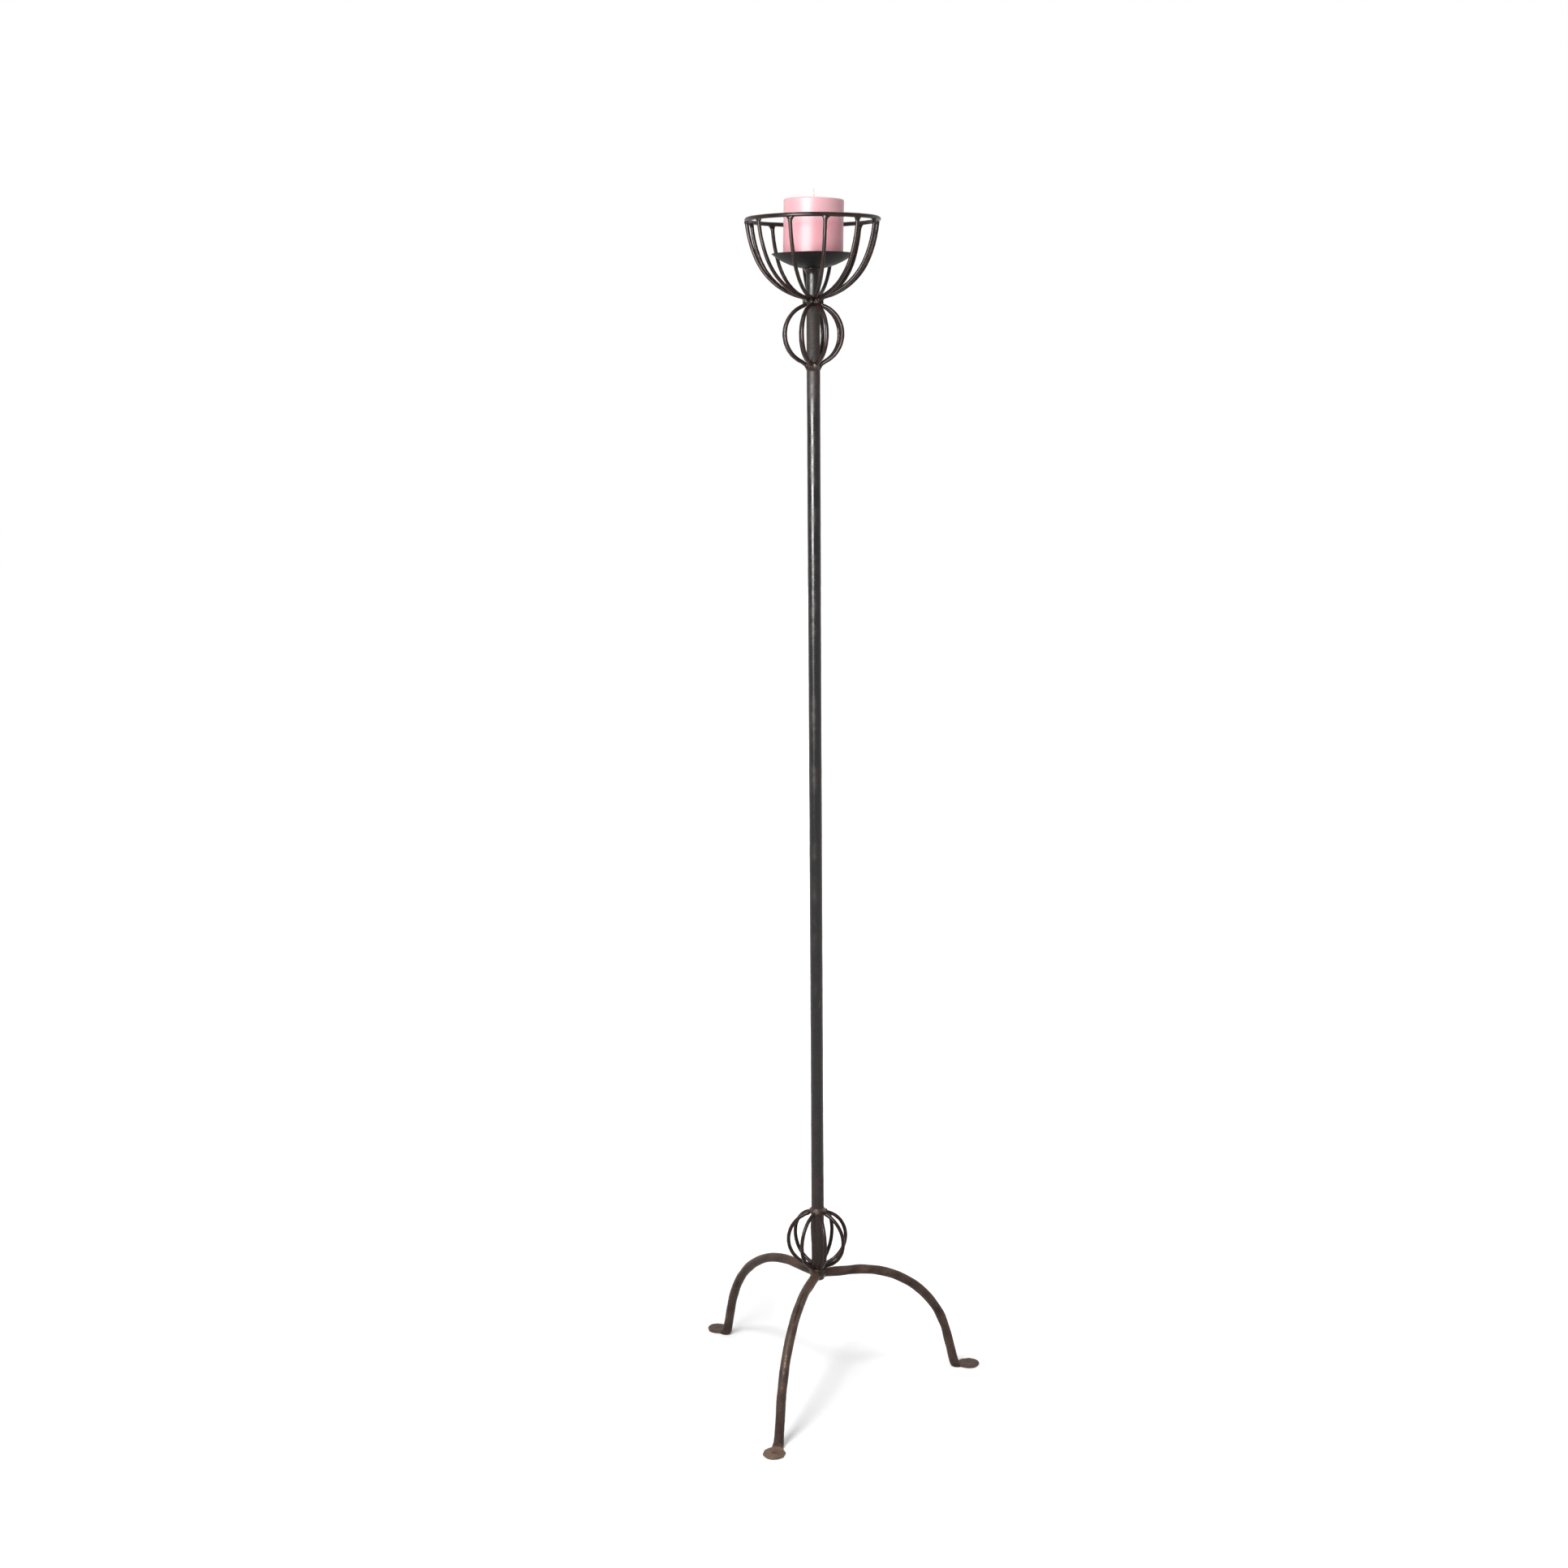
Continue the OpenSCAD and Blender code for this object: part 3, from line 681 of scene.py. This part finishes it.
def rib_walk():
    """Up along the column, round the neck bend, along the wide belly, round the shoulder and on
    to the rim. The belly is the one arc that meets the shoulder's end and the neck bend."""
    top_gap = 0.1
    end = np.array([RIM_R, RIM_Z - RIM_ROD_R - top_gap - RIB_FOOT])
    lean, knee_angle = math.radians(RIB_TOP_LEAN), math.radians(RIB_SHOULDER_ANGLE)
    inward = np.array([-math.cos(knee_angle), math.sin(knee_angle)])
    shoulder = end + RIB_SHOULDER_R * np.array([-math.cos(lean), math.sin(lean)])
    knee = shoulder - RIB_SHOULDER_R * inward
    neck = np.array([RIB_SEAT_R + RIB_NECK_R, RIB_TAIL])
    to_neck = knee - neck
    belly_r = (to_neck @ to_neck - RIB_NECK_R ** 2) / (2 * (RIB_NECK_R - to_neck @ inward))
    belly = knee + belly_r * inward
    neck_turn = math.degrees(math.atan2(belly[1] - neck[1], neck[0] - belly[0]))
    belly_turn, shoulder_turn = neck_turn - RIB_SHOULDER_ANGLE, RIB_SHOULDER_ANGLE - RIB_TOP_LEAN
    steps = [(RIB_TAIL, 0), (RIB_NECK_R * math.radians(neck_turn), -neck_turn),
             (belly_r * math.radians(belly_turn), belly_turn),
             (RIB_SHOULDER_R * math.radians(shoulder_turn), shoulder_turn)]
    return walk((RIB_SEAT_R, RIB_FOOT), 90, steps)


def rim():
    """The rim: a rod carried round a circle, a little uneven in its level and its thickness, with
    one flat spot."""
    rows, sides = 540, 24
    spot_turn, spot_half_wide, spot_deep = math.radians(196), 0.018, 0.15
    turns, around = angles(rows), angles(sides)
    along = turns * RIM_R
    wobble = bumps(along, [0.0], 71, 120, 0)[:, 0]
    path = np.stack((RIM_R * np.cos(turns), RIM_R * np.sin(turns), RIM_Z + 0.1 * wobble), -1)
    outward = np.stack((np.cos(turns), np.sin(turns), np.zeros(rows)), -1)
    spot = np.exp(-(np.sin((turns - spot_turn) / 2) / spot_half_wide) ** 2)
    radius = RIM_ROD_R - 0.12 + 0.05 * bumps(along, around, 72, 25, 3) - spot_deep * spot[:, None]
    tone = 0.35 + 0.25 * bumps(along, around, 73, 60, 2)
    grid = {"points": ring_rod(path, outward, radius, sides), "along": along, "girth": RIM_ROD_R,
            "tone": tone}
    mesh_piece("rim_rod", [grid], ROD_IRON, ["rim_ring"], looped=True)


# ---------------------------------------------------------------------------
# Weld metal
# ---------------------------------------------------------------------------

def lumps_at(around, turns, width):
    """How near each direction is to the nearest of the given turns: 1 on it, and falling off as a
    bell over `width` degrees."""
    lines = np.radians(np.asarray(list(turns), float))
    apart = np.degrees(np.angle(np.exp(1j * (around[:, None] - lines))))
    return np.exp(-(apart / width) ** 2).max(axis=1)


def soft_profile(profile, rows):
    """Radii and heights of a profile with its corners rounded: each row is the mean of the
    straight-sided profile under a bell that is narrower than one of its sides."""
    radii, levels = (np.asarray(part, float) for part in zip(*profile))
    share, dense = np.linspace(0, 1, len(radii)), np.linspace(0, 1, 8 * len(radii))
    bell_wide = 3 * share[1] / 2 / 2.2
    reach = np.exp(-((np.linspace(0, 1, rows)[:, None] - dense) / bell_wide) ** 2)
    reach /= reach.sum(axis=1, keepdims=True)
    return reach @ np.interp(dense, share, radii), reach @ np.interp(dense, share, levels)


def column_weld(name, profile, seed, swells, tint, rough, sides=144):
    """Weld metal laid round the column as one turned body. profile gives radii and heights from
    its lower edge to its upper edge, and both edges are inside the column's wall. Each swell is a
    lump's height, half-height, turns, width, depth and added tone. The surface is a little rough
    between its edges, and its tone follows its lumps."""
    rows = 44
    radius, height = soft_profile(profile, rows)
    around = angles(sides)
    between_edges = np.clip(np.sin(np.pi * np.linspace(0, 1, rows)), 0, 1)[:, None] ** 0.6
    off = rough * bumps(height, around, seed, 6, 9) + 0.4 * rough * bumps(height, around, seed + 1, 3, 16)
    tone = tint + 0.3 * bumps(height, around, seed + 2, 12, 5)
    for level, tall, turns, width, amount, tinge in swells:
        lump = np.exp(-((height - level) / tall) ** 2)[:, None] * lumps_at(around, turns, width)[None, :]
        off, tone = off + amount * lump, tone + tinge * lump
    grid = {"points": turned(radius, height, sides, off * between_edges), "along": height,
            "girth": radius.mean(), "tone": np.clip(tone, -1, 2)}
    mesh_piece(name + "_metal", [grid], WELD_METAL, [name], looped=True)


def hub_weld():
    """A saddle of weld metal between the legs' ends: drawn in between the legs, filled out on to
    their sides, and built up under the foot of each loop."""
    legs = list(LEG_TURNS.values())
    low, high = COLUMN_FOOT + 0.2, LOWER_FOOT + 0.3
    profile = [(INSIDE_WALL, low), (8.6, low + 0.4), (8.9, low + 1.5), (9.4, low + 3), (10.2, low + 5),
               (11.2, low + 7), (11.9, LEG_LEVEL + 1), (11.8, high - 4.5), (12.0, high - 2.4),
               (11.6, high - 0.8), (10.2, high), (INSIDE_WALL, high)]
    swells = [(LEG_LEVEL, 6.5, legs, 34, 1.0, 0.2), (high - 1.4, 1.6, LOWER_TURNS, 11, 0.7, 0.2),
              (LEG_LEVEL + 4, 2.5, [302], 14, -1.3, -0.9)]
    column_weld("hub_weld", profile, 31, swells, 0.6, 0.2)


def lower_ball_weld():
    """Lumps of weld metal over the tops of the lower loops, one of them raised."""
    top = LOWER_TOP
    profile = [(INSIDE_WALL, top - 7), (8.6, top - 6.6), (9.4, top - 4.6), (10.3, top - 2.6),
               (10.8, top - 0.6), (10.5, top + 1.2), (9.6, top + 2.8), (8.7, top + 4.1),
               (INSIDE_WALL, top + 4.5)]
    swells = [(top - 1.2, 2.6, LOWER_TURNS, 13, 1.5, 0.1), (top + 1.8, 2.4, [347], 14, 2.4, 0.2),
              (top - 2.0, 3.6, [284], 24, 0.9, 0.5)]
    column_weld("lower_ball_weld", profile, 61, swells, 0.8, 0.22)


def upper_ball_weld():
    """A smooth cone that carries the feet of the upper loops over into the column."""
    foot = UPPER_FOOT
    profile = [(INSIDE_WALL, foot - 3.4), (8.3, foot - 3.2), (8.5, foot - 1.8), (8.9, foot),
               (9.5, foot + 2), (10.1, foot + 4), (10.4, foot + 6), (10.0, foot + 8),
               (8.9, foot + 10), (INSIDE_WALL, foot + 10.6)]
    swells = [(foot + 5.5, 4.2, UPPER_TURNS, 13, 1.5, 0.1), (foot + 9, 2.8, UPPER_TURNS, 10, 2.6, 0.0),
              (foot + 6, 2, [304], 13, 0.3, 0.9)]
    column_weld("upper_ball_weld", profile, 65, swells, 0.2, 0.08)


def neck_weld():
    """The waist between the loops' tops and the ribs' feet: it follows the loops below and the
    ribs above, and two beads on its front are painted bright, a painted highlight."""
    low, high, middle = UPPER_TOP - 4.2, RIB_FOOT + 5, (UPPER_TOP + RIB_FOOT) / 2
    profile = [(INSIDE_WALL, low), (8.9, low + 0.4), (9.9, low + 1.8), (11.4, low + 3.6),
               (12.4, middle), (11.4, high - 3.8), (9.9, high - 2), (8.9, high - 0.5),
               (INSIDE_WALL, high)]
    loops, ribs = UPPER_TURNS + np.array(UPPER_SWAY), RIB_TURNS + np.array(RIB_SWAY)
    # The last swell raises two beads on the front and gives them the bright tone 2.0: a painted highlight.
    swells = [(UPPER_TOP - 0.2, 2.4, loops, 12, 1.7, 0.0), (RIB_FOOT + 0.6, 2.4, ribs, 9, 1.6, 0.0),
              (middle + 0.4, 1.6, [278, 309], 8, 1.1, 2.0)]
    column_weld("neck_weld", profile, 81, swells, -0.08, 0.12, sides=180)


def dish_weld():
    """The fillet that flares from the column's top out under the dish."""
    seat = DISH_FOOT
    profile = [(INSIDE_WALL, seat - 8.4), (8.3, seat - 8), (8.7, seat - 6), (9.4, seat - 4),
               (10.5, seat - 2), (12.0, seat - 0.4), (12.8, seat + 0.6), (12.2, seat + 1.1),
               (INSIDE_WALL, seat + 0.9)]
    column_weld("dish_weld", profile, 91, [], -0.05, 0.06)


def rim_flare(turn, seed):
    """The weld round the top of one rib: the rib's section flares out along the rim over the last
    few millimetres, more to one side than to the other, and rounds off inside the rim."""
    sides, rows, into_rim, cap_r = 28, 26, 2.4, 2.8
    walked = rib_walk()
    total = walked[0][-1]
    rng = np.random.default_rng(seed)
    run = rng.uniform(6.0, 8.0)
    lean = rng.uniform(-0.35, 0.35)
    places = total - run + np.linspace(0, 1, rows) * (run + into_rim)
    share = np.clip((places - total + run) / run, 0, 1)
    around = angles(sides)
    grown = RIB_R - 0.2 + 0.25 * ease(share, 0, 0.35)
    wide, thick = grown + 2.7 * share ** 3, grown + 0.3 * share ** 2
    uneven = (0.16 * share)[:, None] * bumps(places, around, seed, 3, 4)
    uneven = uneven + (lean * wide * share ** 2)[:, None] * np.cos(around)
    shrink = np.sqrt(1 - (np.clip(places - total, 0, None) / cap_r) ** 2)
    points = bent_bar(extend(walked, cap_r), places, turn, wide * shrink, thick * shrink, sides, 2.0, uneven)
    return {"points": points, "along": places, "girth": RIB_R, "tone": 0.05}


def rim_welds():
    """A flare at the top of each rib, all in one piece."""
    flares = [rim_flare(turn, 100 + number) for number, turn in enumerate(RIB_TURNS)]
    mesh_piece("rim_weld_metal", flares, WELD_METAL, ["rim_welds"])


# ---------------------------------------------------------------------------
# Dish, spike, candle and wick
# ---------------------------------------------------------------------------

def dish():
    """Spun sheet: the underside and the inside are parts of two spheres one thickness apart, and
    the lip between them is rounded. Spinning leaves faint rings, and the lip is a little uneven."""
    sides, rows, lip_rows, middle_r = 180, 90, 10, 0.4
    outer_lip_r, inner_lip_r = DISH_R - 0.15, DISH_R - 1.7 * DISH_T
    ring_deep, ring_pitch, lip_waver = 0.03, 1.7, 0.12
    centre_z = DISH_FOOT + DISH_BALL_R
    outer_r = np.sin(np.linspace(0, math.pi / 2, rows)) * outer_lip_r
    outer_r[0] = middle_r
    outer_z = centre_z - np.sqrt(DISH_BALL_R ** 2 - outer_r ** 2)
    inner_r = outer_r[::-1] * inner_lip_r / outer_lip_r
    inner_r[-1] = middle_r
    inner_z = centre_z - np.sqrt((DISH_BALL_R - DISH_T) ** 2 - inner_r ** 2)
    swing = np.linspace(0, math.pi, lip_rows)[1:-1]
    lip_low, lip_high = np.array([outer_r[-1], outer_z[-1]]), np.array([inner_r[0], inner_z[0]])
    middle, half = (lip_low + lip_high) / 2, (lip_low - lip_high) / 2
    beyond = np.array([-half[1], half[0]])
    lip = middle + np.cos(swing)[:, None] * half + 0.2 * np.sin(swing)[:, None] * beyond
    radius = np.concatenate((outer_r, lip[:, 0], inner_r))
    height = np.concatenate((outer_z, lip[:, 1], inner_z))
    rings = ring_deep * np.sin(radius / ring_pitch) * (radius < DISH_R - 4)
    points = turned(radius, np.minimum(height + rings, DISH_FOOT + DISH_DEPTH), sides)
    wave = bumps([0.0], angles(sides), 111, 50, 5)[0]
    near_lip = (radius / DISH_R)[:, None] ** 4
    points[..., 2] += lip_waver * wave * near_lip - lip_waver * near_lip
    grid = {"points": points, "along": radius, "girth": 20.0, "tone": 0.15}
    mesh_piece("dish_bowl", [grid], DISH_STEEL, ["drip_dish"])


def spike():
    """The pricket: a round shank drawn out to a four-sided point with softened corners."""
    sides, drawn_over, tip_r = 32, 10, 0.5
    foot, top = SPIKE_LOW[2], SPIKE_HIGH[2]
    shank, point = np.linspace(foot, top - drawn_over, 30), np.linspace(top - drawn_over, top, 40)
    heights = np.concatenate((shank, point[1:]))
    taper = np.clip((top - heights) / drawn_over, 0, 1)
    radius = tip_r + (SPIKE_R - 0.05 - tip_r) * taper
    around = angles(sides)
    corner = np.abs(np.cos(around)) ** 4 + np.abs(np.sin(around)) ** 4
    square = (1 - taper)[:, None] * (corner[None, :] ** -0.25 - 1) * 0.35 * radius[:, None]
    off = 0.04 * bumps(heights, around, 121, 8, 3) - 0.04 - square * 0.5
    grid = {"points": turned(radius, heights, sides, off), "along": heights, "girth": SPIKE_R,
            "tone": 0.2}
    mesh_piece("spike", [grid], ROD_IRON, ["pricket_spike"])


def lean_with_candle(points, foot_z):
    """Places points given from the middle of the candle's foot: tips them by the candle's lean,
    turns them to its direction and raises them to the dish."""
    lean, turn = math.radians(CANDLE_LEAN), math.radians(CANDLE_LEAN_TURN)
    x, y, z = points[..., 0], points[..., 1], points[..., 2]
    tipped_x = x * math.cos(lean) + z * math.sin(lean)
    tipped_z = z * math.cos(lean) - x * math.sin(lean)
    return np.stack((tipped_x * math.cos(turn) - y * math.sin(turn),
                     tipped_x * math.sin(turn) + y * math.cos(turn), tipped_z + foot_z), -1)


def candle_foot():
    """Height of the middle of the candle's foot: its lowest point is the edge that it leans on."""
    lean, edge = math.radians(CANDLE_LEAN), 1.2
    return span("candle")[0][2] + (CANDLE_R - edge) * math.sin(lean) - edge * (1 - math.cos(lean))


def candle():
    """A moulded pillar: a rounded bottom edge, a straight wall, a soft top edge and a top that
    dips a little to the wick, with the socket for the spike up its middle."""
    sides, wall_rows, face_rows, under_rows, wick_r = 160, 110, 50, 20, 1.2
    socket_r, foot_z, r = SPIKE_R + SPIKE_GAP, candle_foot(), CANDLE_EDGE_R
    socket_top = SPIKE_HIGH[2] - foot_z + 0.3
    socket_h = [socket_top, socket_top - 6, 24, 12, 0]
    bore_r = [0.6, socket_r * 0.6, socket_r, socket_r, socket_r]
    under_r = np.linspace(socket_r, CANDLE_R - r, under_rows)[1:]
    bend = np.linspace(0, math.pi / 2, 9)
    foot_r, foot_h = CANDLE_R - r + r * np.sin(bend), r - r * np.cos(bend)
    wall_h = np.linspace(r, CANDLE_H - r, wall_rows)[1:-1]
    top_r, top_h = CANDLE_R - r + r * np.cos(bend), CANDLE_H - r + r * np.sin(bend)
    face_r = np.linspace(CANDLE_R - r, wick_r, face_rows)[1:]
    dip = 0.7 * (1 - ease(face_r, 4, CANDLE_R - 3)) + 0.5 * (1 - ease(face_r, wick_r, 4))
    radius = np.concatenate((bore_r, under_r, foot_r[1:], np.full(len(wall_h), CANDLE_R), top_r, face_r))
    height = np.concatenate((socket_h, np.zeros(len(under_r)), foot_h[1:], wall_h, top_h, CANDLE_H - dip))
    around = angles(sides)
    soft = 0.06 * bumps(height, around, 131, 70, 3) + 0.008 * bumps(height, around, 132, 14, 6) - 0.1
    off = soft * ease(radius, 10, CANDLE_R)[:, None]
    off[:len(bore_r) + len(under_r)] = 0
    points = lean_with_candle(turned(radius, height, sides, off), foot_z)
    grid = {"points": points, "along": height, "girth": CANDLE_R}
    mesh_piece("candle_pillar", [grid], CANDLE_WAX, ["candle"], "candle")


def wick():
    """A flat-braided wick: three strands that cross from side to side swell the section in turn,
    and the wick bends a little to one side above the wax."""
    sides, spacing, blunt, braid_pitch, strands, swell = 24, 0.25, 0.35, 3.2, 3, 0.07
    low, top = CANDLE_H / 2, CANDLE_H + WICK_OUT
    heights = row_places(top - low, spacing, blunt) + low
    around, wound = strands * angles(sides)[None, :], TAU * heights[:, None] / braid_pitch
    radius = WICK_R - 0.2 - edge_loss(heights - low, top - low, blunt)
    off = swell * np.cos(around + wound) + swell * np.cos(around - wound)
    points = turned(radius, heights, sides, off)
    above = np.clip(heights - CANDLE_H, 0, None)
    points[..., 0] -= (0.012 * above ** 1.6)[:, None]
    grid = {"points": lean_with_candle(points, candle_foot()), "along": heights, "girth": WICK_R}
    mesh_piece("wick", [grid], WICK_COTTON, ["candle_wick"], "candle")


# ---------------------------------------------------------------------------
# Studio
# ---------------------------------------------------------------------------

def stand_at(round_by, distance, height):
    """The point at an azimuth, in radians and from the front, a distance from the column."""
    return Vector((distance * math.sin(round_by), -distance * math.cos(round_by), height))


def camera():
    """The photograph's viewpoint: how far round and how high the camera stands, and how much it
    is turned aside, tipped down and rolled."""
    round_by, aside, tip, roll = (math.radians(a) for a in (16.412, 0.881, 10.465, -0.447))
    place = stand_at(round_by, 2.7095, 1.3468)
    ahead = np.array([-math.sin(round_by), math.cos(round_by), 0])
    right = np.array([math.cos(round_by), math.sin(round_by), 0])
    up = np.array([0, 0, 1.0])
    ahead, right = (math.cos(aside) * ahead - math.sin(aside) * right,
                    math.cos(aside) * right + math.sin(aside) * ahead)
    ahead, up = math.cos(tip) * ahead - math.sin(tip) * up, math.cos(tip) * up + math.sin(tip) * ahead
    right, up = math.cos(roll) * right + math.sin(roll) * up, math.cos(roll) * up - math.sin(roll) * right
    lens = bpy.data.cameras.new("camera")
    lens.lens = 47.80
    lens.sensor_width = 36
    lens.clip_end = 50
    eye = bpy.data.objects.new("camera", lens)
    bpy.context.scene.collection.objects.link(eye)
    rows = [(right[k], up[k], -ahead[k], place[k]) for k in range(3)]
    eye.matrix_world = Matrix((*rows, (0, 0, 0, 1)))
    bpy.context.scene.camera = eye


def softbox(name, round_by, distance, height, aim, wide, tall, watts):
    """A rectangular lamp, wide by tall metres, that stands round the object at an azimuth, in
    degrees, like the camera's, and faces the point at height `aim` on the column."""
    lamp = bpy.data.lights.new(name, "AREA")
    lamp.shape = "RECTANGLE"
    lamp.size, lamp.size_y = wide, tall
    lamp.energy = watts
    box = bpy.data.objects.new(name, lamp)
    bpy.context.scene.collection.objects.link(box)
    box.location = stand_at(math.radians(round_by), distance, height)
    box.rotation_euler = (Vector((0, 0, aim)) - box.location).to_track_quat("-Z", "Y").to_euler()
    box.visible_camera = False
    return box


def sees_background(tree):
    """1 for the rays that should see the plain white background: those from the camera, and
    those that metal or glass reflects or lets through."""
    path = node(tree, "ShaderNodeLightPath")
    shown = figure(tree, "MAXIMUM", path.outputs["Is Camera Ray"], path.outputs["Is Glossy Ray"])
    return figure(tree, "MAXIMUM", shown, path.outputs["Is Transmission Ray"])


def paper():
    """White paper. Only for the camera and for reflections it is made lighter: an added diffuse
    share brings the lit floor up to white and keeps the shadows at the feet, a glow grows over
    the first metre or so from the object, and another takes the column's shadow out behind it."""
    made, tree, shader = new_material("paper_floor")
    added, black, white, shadow_place = (0.4, 0.4, 0.4, 1), (0, 0, 0, 1), (1, 1, 1, 1), (0.08, 0.26, 0)
    place = object_place(tree)
    away = node(tree, "ShaderNodeVectorMath", {0: place}, operation="LENGTH").outputs["Value"]
    shown = sees_background(tree)
    glow = spread(tree, away, 0.3, 1.3, 0.08, 1.0)
    behind = node(tree, "ShaderNodeVectorMath", {0: place, 1: shadow_place}, operation="DISTANCE")
    lifted = spread(tree, behind.outputs["Value"], 0.08, 0.26, 0.4, 0.0)
    glow = figure(tree, "MAXIMUM", glow, lifted)
    more = node(tree, "ShaderNodeBsdfDiffuse", {"Color": blend_colour(tree, shown, black, added)})
    both = node(tree, "ShaderNodeAddShader", {0: shader.outputs[0], 1: more.outputs[0]})
    fill(tree, tree.nodes["Material Output"], {"Surface": both.outputs[0]})
    fill(tree, shader, {"Base Color": (0.82, 0.82, 0.82, 1), "Roughness": 0.9,
                        "Specular IOR Level": 0.0, "Emission Color": white,
                        "Emission Strength": figure(tree, "MULTIPLY", shown, glow)})
    return made


def studio():
    """A white floor that keeps the soft shadow, a white surround, and soft lamps at the front
    left: one high up, one beside the column's top, and a weaker one below it, so that the
    column's highlight fades downwards. The card is only a bright shape for the metal and the wax
    to reflect: it lights nothing."""
    scene = bpy.context.scene
    scene.view_settings.view_transform = "Standard"
    world = bpy.data.worlds.new("surround")
    scene.world = world
    world.use_nodes = True
    tree = world.node_tree
    surround_light, surround_shown = 0.42, 1.0
    strength = spread(tree, sees_background(tree), 0, 1, surround_light, surround_shown)
    fill(tree, tree.nodes["Background"], {"Strength": strength, "Color": (1, 1, 1, 1)})

    half = 12.0
    corners = [(-half, -half, 0), (half, -half, 0), (half, half, 0), (-half, half, 0)]
    data = bpy.data.meshes.new("floor")
    data.from_pydata(corners, [], [(0, 1, 2, 3)])
    floor = bpy.data.objects.new("floor", data)
    scene.collection.objects.link(floor)
    data.materials.append(paper())

    softbox("key", -11, 1.2, 1.42, aim=1.1, wide=0.55, tall=0.75, watts=7)
    softbox("key_low", -10, 1.2, 0.86, aim=0.8, wide=0.45, tall=0.36, watts=3.2)
    softbox("high", -14, 1.6, 3.6, aim=0.9, wide=0.7, tall=0.7, watts=36)
    card = softbox("card", -10, 1.18, 1.45, aim=1.45, wide=0.62, tall=0.8, watts=76)
    card.visible_diffuse = False


column()
leg("leg_front", 200, tint=0.45, foot_tint=1.5)
leg("leg_right", 210, tint=0.25, foot_tint=0.7)
leg("leg_left", 220, tint=0.3, foot_tint=0.8)
for number, turn in enumerate(LOWER_TURNS):
    rod(f"lower_loop_{number + 1}", loop_walk(LOWER_FOOT, **LOWER_BALL), turn, LOOP_R,
        300 + 10 * number, 0.45)
for number, turn in enumerate(UPPER_TURNS):
    rod(f"upper_loop_{number + 1}", loop_walk(UPPER_FOOT, **UPPER_BALL), turn, LOOP_R,
        400 + 10 * number, 0.35, drawn_out=True, sway=(0, UPPER_SWAY[number]))
for number, turn in enumerate(RIB_TURNS):
    rod(f"basket_rib_{number + 1}", rib_walk(), turn, RIB_R, 500 + 10 * number, 0.35,
        sway=(RIB_SWAY[number], 0))
rim()
hub_weld()
lower_ball_weld()
upper_ball_weld()
neck_weld()
dish_weld()
rim_welds()
dish()
spike()
candle()
wick()
camera()
studio()
